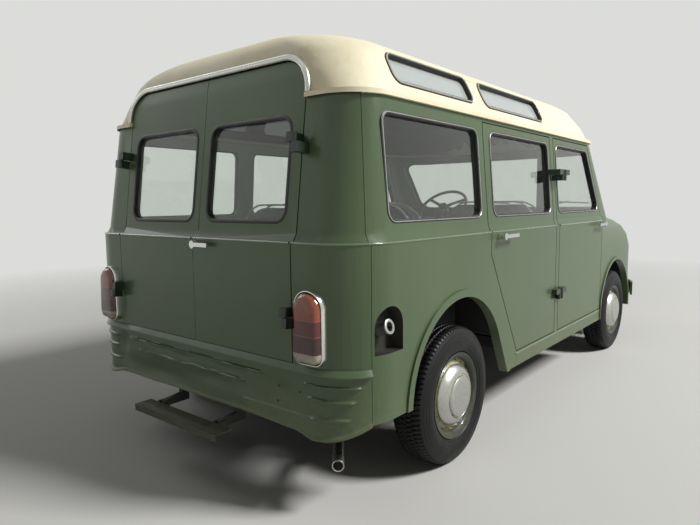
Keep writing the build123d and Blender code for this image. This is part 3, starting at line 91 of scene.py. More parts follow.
def enamelPaint(name, look):
    # brushed-on enamel over pressed steel: a soft shine that wavers, faded patches, dust low down
    material, tree, shader, place = newMaterial(name)
    fade = addNode(tree, "TexNoise", {"Vector": place, "Scale": 1000 / look["fadeMm"], "Detail": 4.0})
    patches = addNode(tree, "MapRange", {0: fade, 1: 0.35, 2: 0.7})
    colour = addNode(tree, "Mix", {"data_type": "RGBA", 0: patches, 6: look["colour"], 7: look["faded"]}, 2)
    stretched = addNode(tree, "Mapping", {"Vector": place, "Scale": (28, 28, 1.6)})
    streak = addNode(tree, "TexNoise", {"Vector": stretched, "Scale": 1.0, "Detail": 3.0})
    streaks = addNode(tree, "MapRange", {0: streak, 1: 0.55, 2: 0.75, 3: 0, 4: look["streaks"]})
    colour = addNode(tree, "Mix", {"data_type": "RGBA", 0: streaks, 6: colour, 7: look["dust"]}, 2)
    height = addNode(tree, "SeparateXYZ", {0: place}, "Z")
    low = addNode(tree, "MapRange", {0: height, 1: look["dustTop"], 2: 0.25})
    specks = addNode(tree, "TexNoise", {"Vector": place, "Scale": 38.0, "Detail": 6.0})
    specks = addNode(tree, "MapRange", {0: specks, 1: 0.35, 2: 0.7, 3: 0.1, 4: 0.75})
    dusty = addNode(tree, "Math", {"operation": "MULTIPLY", 0: low, 1: specks})
    colour = addNode(tree, "Mix", {"data_type": "RGBA", 0: dusty, 6: colour, 7: look["dust"]}, 2)
    rough = addNode(tree, "MapRange", {0: fade, 1: 0.3, 2: 0.7, 3: look["rough"] - 0.06, 4: look["rough"] + 0.10})
    dull = addNode(tree, "MapRange", {0: dusty, 1: 0, 2: 1, 3: 0, 4: 0.35})
    wave = addNode(tree, "TexNoise", {"Vector": place, "Scale": 1000 / look["rippleMm"], "Detail": 2.0})
    setNode(tree, shader, {
        "Base Color": colour, "Roughness": addNode(tree, "Math", {"operation": "ADD", 0: rough, 1: dull}),
        "IOR": 1.5, "Coat Weight": look["coat"], "Coat Roughness": 0.05, "Specular IOR Level": 0.36,
        "Normal": addNode(tree, "Bump", {"Height": wave, "Strength": look["ripple"], "Distance": 0.01})})
    return material


bodyGreen = enamelPaint("oliveEnamel", {
    "colour": "#45573A", "faded": "#4F6142", "dust": "#6E6C50", "fadeMm": 900, "streaks": 0.05,
    "dustTop": 0.50, "rough": 0.32, "coat": 0.22, "rippleMm": 260, "ripple": 0.07})
# the beads' enamel is lighter than the body's: a painted highlight along the rolled edges, with a glossier coat too
beadGreenPaintedHighlight = enamelPaint("oliveEnamelPaintedHighlight", {
    "colour": "#5A7050", "faded": "#667A58", "dust": "#8A8870", "fadeMm": 300, "streaks": 0.0,
    "dustTop": 0.3, "rough": 0.24, "coat": 1.0, "rippleMm": 60, "ripple": 0.04})
# a darker copy of the body's enamel: painted shade, used on the hinge boxes and the rear step
paintedShadeGreen = enamelPaint("oliveEnamelPaintedShade", {
    "colour": "#242E22", "faded": "#2C3728", "dust": "#56543F", "fadeMm": 90, "streaks": 0.05,
    "dustTop": 0.5, "rough": 0.42, "coat": 0.3, "rippleMm": 30, "ripple": 0.10})
roofCream = enamelPaint("creamEnamel", {
    "colour": "#EDE4C6", "faded": "#E0D5B4", "dust": "#A89C7C", "fadeMm": 500, "streaks": 0.14,
    "dustTop": 0.3, "rough": 0.54, "coat": 0.0, "rippleMm": 260, "ripple": 0.05})
wheelGreen = enamelPaint("wheelEnamel", {
    "colour": "#1A2518", "faded": "#222F1F", "dust": "#4A4838", "fadeMm": 120, "streaks": 0.0,
    "dustTop": 0.45, "rough": 0.36, "coat": 0.25, "rippleMm": 20, "ripple": 0.06})


def paleRing(material, outerRadius, hexText):
    # a pale cream ring round the hubcap, broken into ragged chips
    tree = material.node_tree
    shader = tree.nodes["Principled BSDF"]
    place = addNode(tree, "TexCoord", {}, "Object")
    along = addNode(tree, "SeparateXYZ", {0: place}, "X")
    height = addNode(tree, "SeparateXYZ", {0: place}, "Z")
    middleX = (body["rearAxle"] + body["frontAxle"]) / 2
    fromMiddle = addNode(tree, "Math", {"operation": "SUBTRACT", 0: along, 1: middleX})
    reach = addNode(tree, "Math", {"operation": "ABSOLUTE", 0: fromMiddle})
    offX = addNode(tree, "Math", {"operation": "SUBTRACT", 0: reach, 1: body["frontAxle"] - middleX})
    offZ = addNode(tree, "Math", {"operation": "SUBTRACT", 0: height, 1: body["tyreRadius"]})
    flat = addNode(tree, "CombineXYZ", {"X": offX, "Z": offZ})
    radius = addNode(tree, "VectorMath", {"operation": "LENGTH", 0: flat}, "Value")
    chips = addNode(tree, "TexNoise", {"Vector": place, "Scale": 55.0, "Detail": 5.0})
    ragged = addNode(tree, "Math", {"operation": "MULTIPLY_ADD", 0: chips, 1: 0.030, 2: -0.015})
    edge = addNode(tree, "Math", {"operation": "ADD", 0: radius, 1: ragged})
    ring = addNode(tree, "MapRange", {0: edge, 1: outerRadius, 2: outerRadius + 0.002, 3: 1, 4: 0})
    left = addNode(tree, "MapRange", {0: chips, 1: 0.36, 2: 0.40})
    worn = addNode(tree, "Math", {"operation": "MULTIPLY", 0: ring, 1: left})
    painted = shader.inputs["Base Color"].links[0].from_socket
    setNode(tree, shader, {
        "Base Color": addNode(tree, "Mix", {"data_type": "RGBA", 0: worn, 6: painted, 7: hexText}, 2)})


paleRing(wheelGreen, 0.160, "#A9A47E")


def windowGlass(name, tint, rough, through):
    # tempered sheet glass with a faint green body and a little dust on it
    material, tree, shader, place = newMaterial(name)
    dust = addNode(tree, "TexNoise", {"Vector": place, "Scale": 9.0, "Detail": 5.0})
    film = addNode(tree, "MapRange", {0: dust, 1: 0.5, 2: 0.8, 3: 0, 4: 0.10})
    setNode(tree, shader, {
        "Base Color": addNode(tree, "Mix", {"data_type": "RGBA", 0: film, 6: tint, 7: "#C9C6B8"}, 2),
        "Roughness": addNode(tree, "MapRange", {0: dust, 1: 0.4, 2: 0.8, 3: rough, 4: rough + 0.04}),
        "Transmission Weight": through, "IOR": 1.5})
    return material


clearGlass = windowGlass("sheetGlass", "#EBF0EC", 0.0, 1.0)
# the roof panes are whitish and half clear: partly aged perspex, partly a painted reflection of sky and glare
weatheredPaneWithPaintedGlare = windowGlass("weatheredPaneWithPaintedGlare", "#C9CFCC", 0.16, 0.35)


def lampLens(name, bands):
    # pressed coloured lens with fine upright ribs; bands are (lowest height, hex)
    material, tree, shader, place = newMaterial(name)
    height = addNode(tree, "SeparateXYZ", {0: place}, "Z")
    colour = bands[0][1]
    for foot, hexText in bands[1:]:
        above = addNode(tree, "Math", {"operation": "GREATER_THAN", 0: height, 1: foot})
        colour = addNode(tree, "Mix", {"data_type": "RGBA", 0: above, 6: colour, 7: hexText}, 2)
    depth = addNode(tree, "TexNoise", {"Vector": place, "Scale": 60.0})
    depth = addNode(tree, "MapRange", {0: depth, 1: 0.3, 2: 0.7, 3: 0.0, 4: 0.25})
    # ribs 6 mm apart
    ribs = addNode(tree, "TexWave", {"Vector": place, "Scale": 1000 / 6 / 6.283, "bands_direction": "Y"}, "Fac")
    setNode(tree, shader, {
        "Base Color": addNode(tree, "Mix", {"data_type": "RGBA", 0: depth, 6: colour, 7: "#241612"}, 2),
        "Normal": addNode(tree, "Bump", {"Height": ribs, "Strength": 0.25, "Distance": 0.002}),
        "Roughness": 0.12, "IOR": 1.49, "Coat Weight": 0.6})
    return material


def chromePlate(name, tone, rough):
    # decorative plating on steel: mirror with fine pitting and dulled patches
    material, tree, shader, place = newMaterial(name)
    pits = addNode(tree, "TexNoise", {"Vector": place, "Scale": 180.0, "Detail": 6.0})
    pits = addNode(tree, "MapRange", {0: pits, 1: 0.58, 2: 0.72, 3: 0, 4: 0.5})
    patches = addNode(tree, "TexNoise", {"Vector": place, "Scale": 14.0, "Detail": 4.0})
    setNode(tree, shader, {
        "Base Color": addNode(tree, "Mix", {"data_type": "RGBA", 0: pits, 6: tone, 7: "#6E665A"}, 2),
        "Roughness": addNode(tree, "MapRange", {0: patches, 1: 0.3, 2: 0.7, 3: rough, 4: rough + 0.14}),
        "Metallic": 1.0})
    return material


chrome = chromePlate("chromiumPlate", "#D8D8D4", 0.10)
brightAluminium = chromePlate("aluminiumTrim", "#BFC0BA", 0.24)


def dullCoat(name, first, second, blotchMm, grainMm, grainDepth, rough, metallic=0.0):
    # plain coatings and raw surfaces: two tones in blotches, grain as bump
    material, tree, shader, place = newMaterial(name)
    blotch = addNode(tree, "TexNoise", {"Vector": place, "Scale": 1000 / blotchMm, "Detail": 6.0})
    grain = addNode(tree, "TexNoise", {"Vector": place, "Scale": 1000 / grainMm, "Detail": 3.0})
    share = addNode(tree, "MapRange", {0: blotch, 1: 0.38, 2: 0.66})
    setNode(tree, shader, {
        "Base Color": addNode(tree, "Mix", {"data_type": "RGBA", 0: share, 6: first, 7: second}, 2),
        "Roughness": addNode(tree, "MapRange", {0: blotch, 1: 0.3, 2: 0.7, 3: rough - 0.08, 4: rough + 0.08}),
        "Metallic": metallic,
        "Normal": addNode(tree, "Bump", {"Height": grain, "Strength": grainDepth, "Distance": 0.001})})
    return material


chassisBlack = dullCoat("bitumenBlack", "#1E1E1C", "#34302A", 90, 3, 0.25, 0.62)
exhaustSteel = dullCoat("aluminisedSteel", "#A3A19A", "#7C776C", 60, 1.5, 0.2, 0.36, 0.85)
engineIron = dullCoat("oiledCastIron", "#2E2D2B", "#454039", 60, 2.5, 0.5, 0.55, 0.2)
rubberMat = dullCoat("ribbedRubberMat", "#23231F", "#2F2E28", 200, 4, 0.4, 0.75)
dashPlastic = dullCoat("blackPhenolic", "#191A19", "#222322", 150, 1.2, 0.12, 0.38)
sealRubber = dullCoat("sealRubber", "#141414", "#1F1E1C", 60, 1.5, 0.15, 0.5)
headlining = dullCoat("headliningCloth", "#1B1A18", "#24231F", 300, 2.0, 0.4, 0.85)
# the inner green is pale, and made paler again as painted light, standing in for sun falling inside
innerGreenWithPaintedLight = dullCoat("paleGreenEnamelWithPaintedLight", "#A3B190", "#97A586", 400, 8, 0.05, 0.4)
pipingVinyl = dullCoat("whitePipingVinyl", "#D9D6CC", "#C9C4B6", 50, 1.5, 0.15, 0.45)


def leathercloth(name, colour, rubbed, pebbleMm):
    # coated cloth: a fine pebbled grain, rubbed patches and a soft sheen
    material, tree, shader, place = newMaterial(name)
    pebble = addNode(tree, "TexVoronoi", {"Vector": place, "Scale": 1000 / pebbleMm}, "Distance")
    worn = addNode(tree, "TexNoise", {"Vector": place, "Scale": 6.0, "Detail": 5.0})
    share = addNode(tree, "MapRange", {0: worn, 1: 0.4, 2: 0.7})
    setNode(tree, shader, {
        "Base Color": addNode(tree, "Mix", {"data_type": "RGBA", 0: share, 6: colour, 7: rubbed}, 2),
        "Roughness": addNode(tree, "MapRange", {0: worn, 1: 0.3, 2: 0.7, 3: 0.34, 4: 0.52}),
        "Normal": addNode(tree, "Bump", {"Height": pebble, "Strength": 0.3, "Distance": 0.0008})})
    return material


def vulcanisedRubber(name):
    # near black, with dusty blotches that are also duller, and a fine grain
    material, tree, shader, place = newMaterial(name)
    dirt = addNode(tree, "TexNoise", {"Vector": place, "Scale": 16.0, "Detail": 7.0})
    fine = addNode(tree, "TexNoise", {"Vector": place, "Scale": 260.0, "Detail": 3.0})
    share = addNode(tree, "MapRange", {0: dirt, 1: 0.45, 2: 0.75, 3: 0, 4: 0.18})
    setNode(tree, shader, {
        "Base Color": addNode(tree, "Mix", {"data_type": "RGBA", 0: share, 6: "#050506", 7: "#2A2824"}, 2),
        "Roughness": addNode(tree, "MapRange", {0: dirt, 1: 0.3, 2: 0.7, 3: 0.40, 4: 0.62}),
        "Specular IOR Level": 0.3,
        "Normal": addNode(tree, "Bump", {"Height": fine, "Strength": 0.12, "Distance": 0.001})})
    return material


seatVinyl = leathercloth("blackLeathercloth", "#0F0F10", "#1B1A1A", 3.0)
tyreRubber = vulcanisedRubber("vulcanisedRubber")
print("materials made")


# Meshes

def finishPiece(piece, bodyName, replaced=None):
    bpy.context.scene.collection.objects.link(piece)
    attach(piece, bodyName)
    if replaced:
        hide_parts(replaced)


def joinRings(built, rings, closed=False):
    # faces between neighbouring rings of points; a ring of one point closes like a cone
    for first, second in zip(rings, rings[1:] + rings[:1] if closed else rings[1:]):
        size = max(len(first), len(second))
        for j in range(size):
            k = (j + 1) % size
            corners = ((first, j), (first, k), (second, k), (second, j))
            built.faces.new(list(dict.fromkeys(ring[n % len(ring)] for ring, n in corners)))


def makePiece(name, built, material, sharp=None):
    # smooth but for corners sharper than the angle; flat without an angle
    bmesh.ops.recalc_face_normals(built, faces=built.faces)
    for face in built.faces:
        face.smooth = sharp is not None
    mesh = bpy.data.meshes.new(name)
    built.to_mesh(mesh)
    built.free()
    mesh.materials.append(material)
    if sharp:
        mesh.set_sharp_from_angle(angle=math.radians(sharp))
    return bpy.data.objects.new(name, mesh)


def sweep(name, path, outward, profile, material, closed=True):
    # a profile of (side, out) points carried along a path; outward is the surface normal, or gives it
    count = len(path)
    built = bmesh.new()
    rings = []
    for i, point in enumerate(path):
        before = path[i - 1] if closed or i else path[i]
        after = path[(i + 1) % count] if closed or i < count - 1 else path[i]
        tangent = (after - before).normalized()
        out = outward(point) if callable(outward) else outward
        out = (out - out.dot(tangent) * tangent).normalized()
        side = tangent.cross(out).normalized()
        miter = 1.0
        if before != point and after != point:
            turn = (point - before).normalized().dot((after - point).normalized())
            miter = 1 / max(math.sqrt((1 + turn) / 2), 0.6)
        rings.append([built.verts.new(point + side * s * miter + out * o) for s, o in profile])
    joinRings(built, rings, closed)
    if not closed:
        built.faces.new(rings[0])
        built.faces.new(list(reversed(rings[-1])))
    return makePiece(name, built, material, 40)


def revolve(name, middle, axis, profile, material, steps=72):
    # a profile of (out along the axis, radius) turned about an axis that isn't upright
    built = bmesh.new()
    level = axis.cross(Vector((0, 0, 1))).normalized()
    across = level.cross(axis).normalized()
    turns = [2 * math.pi * i / steps for i in range(steps)]
    rings = [[built.verts.new(middle + axis * along + radius * (level * math.cos(a) + across * math.sin(a)))
              for a in (turns if radius > 1e-6 else turns[:1])] for along, radius in profile]
    joinRings(built, rings)
    return makePiece(name, built, material, 35)


def roundProfile(radius, sides):
    return [(radius * math.cos(2 * math.pi * k / sides), radius * math.sin(2 * math.pi * k / sides))
            for k in range(sides)]


def roundOutline(corners, radius, arcSteps=6):
    # closed outline of straight runs with round corners, as 2-D points
    points = []
    count = len(corners)
    for i in range(count):
        before, corner, after = (Vector(corners[(i + k) % count]) for k in (-1, 0, 1))
        toBefore, toAfter = (before - corner).normalized(), (after - corner).normalized()
        half = toBefore.angle(toAfter) / 2
        reach = radius / math.tan(half)
        start, end = corner + toBefore * reach, corner + toAfter * reach
        centre = corner + (toBefore + toAfter).normalized() * radius / math.sin(half)
        firstTurn = math.atan2(*(start - centre).yx)
        turn = math.atan2(*(end - centre).yx) - firstTurn
        turn = (turn + math.pi) % (2 * math.pi) - math.pi
        for k in range(arcSteps + 1):
            a = firstTurn + turn * k / arcSteps
            points.append(centre + radius * Vector((math.cos(a), math.sin(a))))
    return points


def rectangle(x0, x1, z0, z1):
    return [(x0, z0), (x1, z0), (x1, z1), (x0, z1)]


def wallShare(z):
    return (z - body["waistZ"]) / (body["eaveZ"] - body["waistZ"])


def sideSkin(z):
    # outer face of the side wall at one height, without its sign
    if z < body["beltZ"]:
        return body["lowerHalf"]
    return body["waistHalf"] + wallShare(z) * (body["eaveHalf"] - body["waistHalf"])


def rearSkin(z):
    if z < body["beltZ"]:
        return body["rearFace"]
    return body["rearWaist"] + wallShare(z) * (body["rearEave"] - body["rearWaist"])


def onSide(point, hand):
    x, z = point
    return Vector((x, hand * sideSkin(z), z))


def onRear(point):
    y, z = point
    return Vector((rearSkin(z), y, z))


# CAD nodes that keep their shape

nodeFinish = {
    ("fixed_glass", "rear_door_right_glass", "rear_door_left_glass", "side_door_glass", "front_door_right_glass",
     "front_door_left_glass"): clearGlass,
    ("skylight_glass",): weatheredPaneWithPaintedGlare, ("grille", "front_bumper", "dashboard"): bodyGreen,
    ("chassis_frame", "rear_axle", "front_beam", "suspension", "fuel_tank", "step_brackets", "seat_frames",
     "knuckle_right", "knuckle_left"): chassisBlack,
    ("floor_pan",): rubberMat, ("power_train",): engineIron, ("exhaust",): exhaustSteel, ("seats",): seatVinyl,
    # the rear step takes the darker enamel as painted shade
    ("rear_handle",): chrome, ("rear_step",): paintedShadeGreen, ("steering_wheel",): dashPlastic,
}
for nodeNames, material in nodeFinish.items():
    for nodeName in nodeNames:
        nodes[nodeName].data.materials.clear()
        nodes[nodeName].data.materials.append(material)


def weldedCopy(nodeName, materials, angle=26):
    # the CAD form with its split corners joined, so curved sheet shades as one surface
    mesh = nodes[nodeName].data.copy()
    mesh.materials.clear()
    for material in materials:
        mesh.materials.append(material)
    built = bmesh.new()
    built.from_mesh(mesh)
    bmesh.ops.remove_doubles(built, verts=built.verts, dist=0.00004)
    for face in built.faces:
        face.smooth = True
        face.material_index = 0
    built.to_mesh(mesh)
    built.free()
    mesh.set_sharp_from_angle(angle=math.radians(angle))
    # faces square to the axes are flat panels and shade flat
    for face in mesh.polygons:
        face.use_smooth = max(abs(part) for part in face.normal) < 0.99995
    piece = bpy.data.objects.new(nodeName + "_skin", mesh)
    weighted = piece.modifiers.new("flatPanels", "WEIGHTED_NORMAL")
    weighted.keep_sharp = True
    weighted.weight = 100
    bodyName = next(name for name, members in frame["record"]["behaviour"]["bodies"].items() if nodeName in members)
    finishPiece(piece, bodyName, replaced=nodeName)
    return piece


def paintFaces(piece, index, test, largest=1.0):
    # gives the faces whose middle and normal pass the test another of the piece's materials
    for face in piece.data.polygons:
        if face.area < largest and test(face.center, face.normal):
            face.material_index = index


details = {
    "rearHingeHeights": (0.757, 1.410), "rearHingeY": (0.575, 0.70), "rearX": -1.8, "hingeReach": 0.05,
    "handleZ": 1.012, "handleReach": 0.04, "handleY": 0.9285, "smallFace": 0.0016, "hingeFace": 0.0060,
    "recessX": (-1.789, 0.082), "recessZ": (0.615, 0.802), "recessY": -0.80, "wall": 0.012,
}


def isHinge(centre, normal):
    # hinge boxes and leaves stand out of the skin; they take the darker enamel, a painted shade
    innerY, outerY = details["rearHingeY"]
    if abs(centre.y) > innerY and centre.x < details["rearX"]:
        away = min(abs(centre.z - z) for z in details["rearHingeHeights"])
        return away < details["hingeReach"] and centre.x < rearSkin(centre.z) - 0.0012 and abs(centre.y) < outerY
    return abs(centre.y) > sideSkin(centre.z) + 0.002 and abs(centre.z - details["handleZ"]) > details["hingeReach"]


def isRecess(centre, normal):
    # inside the filler's recess: painted shade, the recess's faces given the black chassis coat
    middleX, halfX = details["recessX"]
    lowZ, highZ = details["recessZ"]
    return (abs(centre.x - middleX) < halfX and lowZ < centre.z < highZ
            and -sideSkin(centre.z) + 0.003 < centre.y < details["recessY"])


def isHandle(centre, normal):
    return abs(centre.y) > details["handleY"] and abs(centre.z - details["handleZ"]) < details["handleReach"]


def isInner(centre, normal):
    # sheet seen from inside: well behind the outer skin, facing the load space or the cab; it takes the pale inner
    # green, lightened as painted light
    if abs(normal.x) > 0.3 and centre.x < -1.7 and abs(centre.y) < 0.7:
        return normal.x > 0.3 and centre.x > rearSkin(centre.z) + details["wall"]
    return normal.y * centre.y < -0.25 * abs(centre.y) and abs(centre.y) < sideSkin(centre.z) - details["wall"]


def isLining(centre, normal):
    return normal.z < -0.2 and abs(centre.y) < 0.83


weldedCopy("bonnet", (bodyGreen,))
weldedCopy("front_body", (bodyGreen,))
for nodeName in ("side_panel_right", "side_panel_left", "rear_corners", "side_frames", "rear_door_right",
                 "rear_door_left", "side_door", "front_door_right", "front_door_left"):
    skin = weldedCopy(nodeName, (bodyGreen, paintedShadeGreen, chrome, innerGreenWithPaintedLight, chassisBlack))
    paintFaces(skin, 3, isInner)
    if "panel" in nodeName:
        # the filler recess gets painted shade in black
        paintFaces(skin, 4, isRecess)
    else:
        paintFaces(skin, 1, isHinge, details["hingeFace" if "rear" in nodeName else "smallFace"])
    if "door" in nodeName and "rear" not in nodeName:
        paintFaces(skin, 2, isHandle)
paintFaces(weldedCopy("roof", (roofCream, headlining), angle=38), 1, isLining)
for wheel in ("front_right", "front_left", "rear_right", "rear_left"):
    weldedCopy("rim_" + wheel, (wheelGreen,))
print("panels dressed")


# Ribbed skirt under the rear doors, carried round both corners, with its dents

skirt = {
    "end": 0.9465, "topZ": 0.575, "cornerFoot": 0.300, "middleFoot": 0.321, "sideRise": 0.539, "riseX": -1.985,
    "sheet": 0.0035, "stepAcross": 0.009, "rows": 96, "flange": 0.016, "flangeZ": 0.552, "runOut": 0.02,
    "ribs": (  # height, half height, how far it stands out, stretches it runs along
        (0.508, 0.0080, 0.012, ((-0.9095, -0.665), (-0.44, 0.56), (0.665, 0.9095))),
        (0.454, 0.0080, 0.012, ((-0.886, -0.68), (-0.33, 0.48), (0.67, 0.886))),
        (0.386, 0.0075, 0.011, ((-0.864, -0.70), (0.66, 0.864))),
    ),
    "dents": (  # along, height, reach along, reach in height, depth
        (-0.52, 0.455, 0.13, 0.055, 0.011), (-0.10, 0.425, 0.16, 0.030, 0.006), (0.28, 0.375, 0.30, 0.045, 0.011),
        (0.62, 0.470, 0.045, 0.060, 0.009), (-0.22, 0.480, 0.07, 0.022, 0.005), (0.10, 0.485, 0.05, 0.018, 0.004),
    ),
    "lap": (-0.73, -0.327, 0.382, 0.006),  # from, to, height of its upper edge, how far it stands out
    "screws": ((-0.522, 0.467), (-0.643, 0.468), (-0.520, 0.406), (0.689, 0.474)),
    "screwHead": [(0.0, 0.0065), (0.002, 0.0065), (0.0035, 0.005), (0.0035, 0.0)],
}


def easeStep(value, low, high):
    share = min(max((value - low) / (high - low), 0.0), 1.0)
    return share * share * (3 - 2 * share)


def tailPlace(along, out):
    # a point on the outline of the tail, out metres outside the body's skin
    hand = -1 if along < 0 else 1
    beyond = abs(along) - body["cornerY"]
    if beyond <= 0:
        return body["rearFace"] - out, along
    turn = beyond / body["cornerRadius"]
    reach = body["cornerRadius"] + out
    return body["cornerX"] - reach * math.cos(turn), hand * (body["cornerY"] + reach * math.sin(turn))


def skirtFoot(along):
    x, y = tailPlace(along, 0)
    middle = skirt["middleFoot"] + 0.006 * noise.noise(Vector((along * 4, 3.1, 0)))
    foot = middle + (skirt["cornerFoot"] - middle) * easeStep(abs(along), 0.62, 0.74)
    return max(foot, skirt["cornerFoot"] + max(0.0, x - skirt["riseX"]) * skirt["sideRise"])


def skirtOut(along, z, foot):
    # how far the pressed sheet stands out of the body's skin
    out = 0.0
    for middleZ, half, depth, stretches in skirt["ribs"]:
        bentZ = middleZ + 0.006 * noise.noise(Vector((along * 5, middleZ * 20, 0)))
        for start, end in stretches:
            inset = skirt["runOut"]
            nearest = min(max(along, start + inset), end - inset)
            away = math.hypot((along - nearest) * half / inset, z - bentZ)
            dented = 0.75 + 0.25 * noise.noise(Vector((along * 9, middleZ * 31, 1.7)))
            out = max(out, depth * dented * (1 - easeStep(away, half * 0.45, half * 1.0)))
    taper = 1 - (z - skirt["flangeZ"]) / (skirt["topZ"] - skirt["flangeZ"]) if z > skirt["flangeZ"] else 1
    out = max(out, skirt["flange"] * easeStep(z, 0.5445, 0.5475) * taper)
    start, end, lapZ, lapOut = skirt["lap"]
    onLap = easeStep(along, start - 0.01, start) * (1 - easeStep(along, end, end + 0.01))
    out += lapOut * onLap * (1 - easeStep(z, lapZ - 0.002, lapZ + 0.003))
    curl = 1 - easeStep(z - foot, 0.004, 0.020)
    out += 0.009 * curl * (0.35 + 0.65 * easeStep(abs(along), 0.60, 0.72))
    for dentAlong, dentZ, reachAlong, reachZ, depth in skirt["dents"]:
        out -= depth * math.exp(-((along - dentAlong) / reachAlong) ** 2 - ((z - dentZ) / reachZ) ** 2)
    ripple = 0.0022 * noise.noise(Vector((along * 7, z * 16, 5.0)))
    return out + ripple * easeStep(z, 0.30, 0.34) * (1 - easeStep(z, 0.50, 0.54))


built = bmesh.new()
columns, rows = int(2 * skirt["end"] / skirt["stepAcross"]), skirt["rows"]
grids = []
for back in (0.0, skirt["sheet"]):
    grid = []
    for i in range(columns + 1):
        along = -skirt["end"] + 2 * skirt["end"] * i / columns
        foot = skirtFoot(along)
        heights = [foot + (skirt["topZ"] - foot) * j / rows for j in range(rows + 1)]
        grid.append([built.verts.new((*tailPlace(along, skirtOut(along, z, foot) - back), z)) for z in heights])
    grids.append(grid)
outer, inner = grids
for i in range(columns):
    for j in range(rows):
        built.faces.new((outer[i][j], outer[i + 1][j], outer[i + 1][j + 1], outer[i][j + 1]))
        built.faces.new((inner[i][j], inner[i][j + 1], inner[i + 1][j + 1], inner[i + 1][j]))
    for j in (0, rows):
        built.faces.new((outer[i][j], inner[i][j], inner[i + 1][j], outer[i + 1][j]))
for i in (0, columns):
    for j in range(rows):
        built.faces.new((outer[i][j], outer[i][j + 1], inner[i][j + 1], inner[i][j]))
finishPiece(makePiece("ribbedSkirt", built, bodyGreen, 50), "body", "rear_skirt")
for number, (along, z) in enumerate(skirt["screws"]):
    x, y = tailPlace(along, skirtOut(along, z, skirtFoot(along)))
    head = revolve("skirtScrew_%d" % number, Vector((x + 0.002, y, z)), Vector((-1, 0, 0)), skirt["screwHead"],
                   sealRubber, steps=16)
    finishPiece(head, "body")
print("skirt made")


# Window seals and their bright trim

seal = {
    "lowZ": 1.110, "highZ": 1.520, "corner": 0.045, "rubber": (0.009, 0.003), "trim": (0.0022, 0.001, 0.0048),
    "quarter": (-1.770, -1.010), "sideWindow": (-0.880, -0.105), "frontWindow": (0.031, 0.855, 0.630),
    "rearWindow": (0.048, 0.548), "rearCorner": 0.055,
}


def sealProfile(width, stand, depth=0.020):
    # flat-topped rubber section: laps the panel outside and the glass inside
    return [(-width, -depth), (-width, stand * 0.3), (-width * 0.7, stand), (width * 0.2, stand),
            (width * 0.7, stand * 0.2), (width * 0.7, -depth)]


def trimProfile(half, low, high):
    left = [(-half, low), (-half, high * 0.8), (-half * 0.5, high)]
    return left + [(-across, out) for across, out in reversed(left)]


def dressWindow(name, path, normal, bodyName, hasTrim=True):
    rubber = sweep("seal_" + name, path, normal, sealProfile(*seal["rubber"]), sealRubber)
    finishPiece(rubber, bodyName)
    if hasTrim:
        trim = sweep("trim_" + name, path, normal, trimProfile(*seal["trim"]), brightAluminium)
        finishPiece(trim, bodyName)


def dressSideWindow(name, hand, bodyName, x0, x1, topX1=None):
    slope = (body["waistHalf"] - body["eaveHalf"]) / (body["eaveZ"] - body["waistZ"])
    corners = rectangle(x0, x1, seal["lowZ"], seal["highZ"])
    corners[2] = (topX1 or x1, seal["highZ"])
    path = [onSide(p, hand) for p in roundOutline(corners, seal["corner"])]
    dressWindow(name, path, Vector((0, hand, slope)).normalized(), bodyName)


rearSlope = (body["rearEave"] - body["rearWaist"]) / (body["eaveZ"] - body["waistZ"])
for sideName, hand in body["sides"].items():
    dressSideWindow("quarter_" + sideName, hand, "body", *seal["quarter"])
    dressSideWindow("side_" + sideName, hand, "side_door" if hand < 0 else "body", *seal["sideWindow"])
    dressSideWindow("front_" + sideName, hand, "front_door_" + sideName, *seal["frontWindow"])
    y0, y1 = (hand * y for y in seal["rearWindow"])
    outline = roundOutline(rectangle(y0, y1, seal["lowZ"], seal["highZ"]), seal["rearCorner"])
    dressWindow("rear_" + sideName, [onRear(p) for p in outline], Vector((-1, 0, rearSlope)).normalized(),
                "rear_door_" + sideName, hasTrim=False)
print("windows sealed")


# Tyres with tread blocks and sidewall ribs, and hubcaps

tyre = {
    "half": 0.084, "pitches": 88, "stepsPerPitch": 6, "groove": 0.007, "fineStep": 0.0042, "fineSteps": 16,
    "longGrooves": ((0.0, 0.0028), (0.030, 0.0032)), "treadHalf": 0.066, "cutShare": 0.26,
    "ribStand": 0.0016, "ribStep": 0.0055,
    "profile": [  # across from the middle, radius
        (0.000, 0.313), (0.018, 0.3128), (0.036, 0.3118), (0.052, 0.3100), (0.063, 0.3060), (0.069, 0.3000),
        (0.074, 0.288), (0.079, 0.272), (0.083, 0.255), (0.084, 0.240), (0.082, 0.225), (0.078, 0.212),
        (0.074, 0.203), (0.070, 0.197), (0.066, 0.195), (0.062, 0.190), (0.058, 0.179),
    ],
    "wallFrom": 5,
}
hubcap = {
    # out from the wheel's middle plane, radius: a rolled rim, a dome, a step and a flatter middle
    "profile": [(0.052, 0.134), (0.052, 0.139), (0.058, 0.1405), (0.063, 0.138), (0.068, 0.134), (0.0775, 0.126),
                (0.0845, 0.116), (0.0885, 0.107), (0.0900, 0.101), (0.0850, 0.0975), (0.0850, 0.0935),
                (0.0950, 0.0905), (0.0985, 0.086), (0.0996, 0.070), (0.1003, 0.046), (0.1008, 0.020), (0.1010, 0.0)],
}


def treadDepth(across, pitchShare):
    # how deep the pattern is cut at one place: three long grooves, and staggered cuts between them
    reach = abs(across)
    if reach > tyre["treadHalf"]:
        return 0.0
    if any(abs(reach - middle) < half for middle, half in tyre["longGrooves"]):
        return tyre["groove"]
    shift = 0.5 if across > 0 else 0.0
    row = 0 if reach < tyre["longGrooves"][1][0] else 1
    share = (pitchShare + shift + 0.5 * row + reach * 6) % 1.0
    return tyre["groove"] * 0.85 if share < tyre["cutShare"] else 0.0


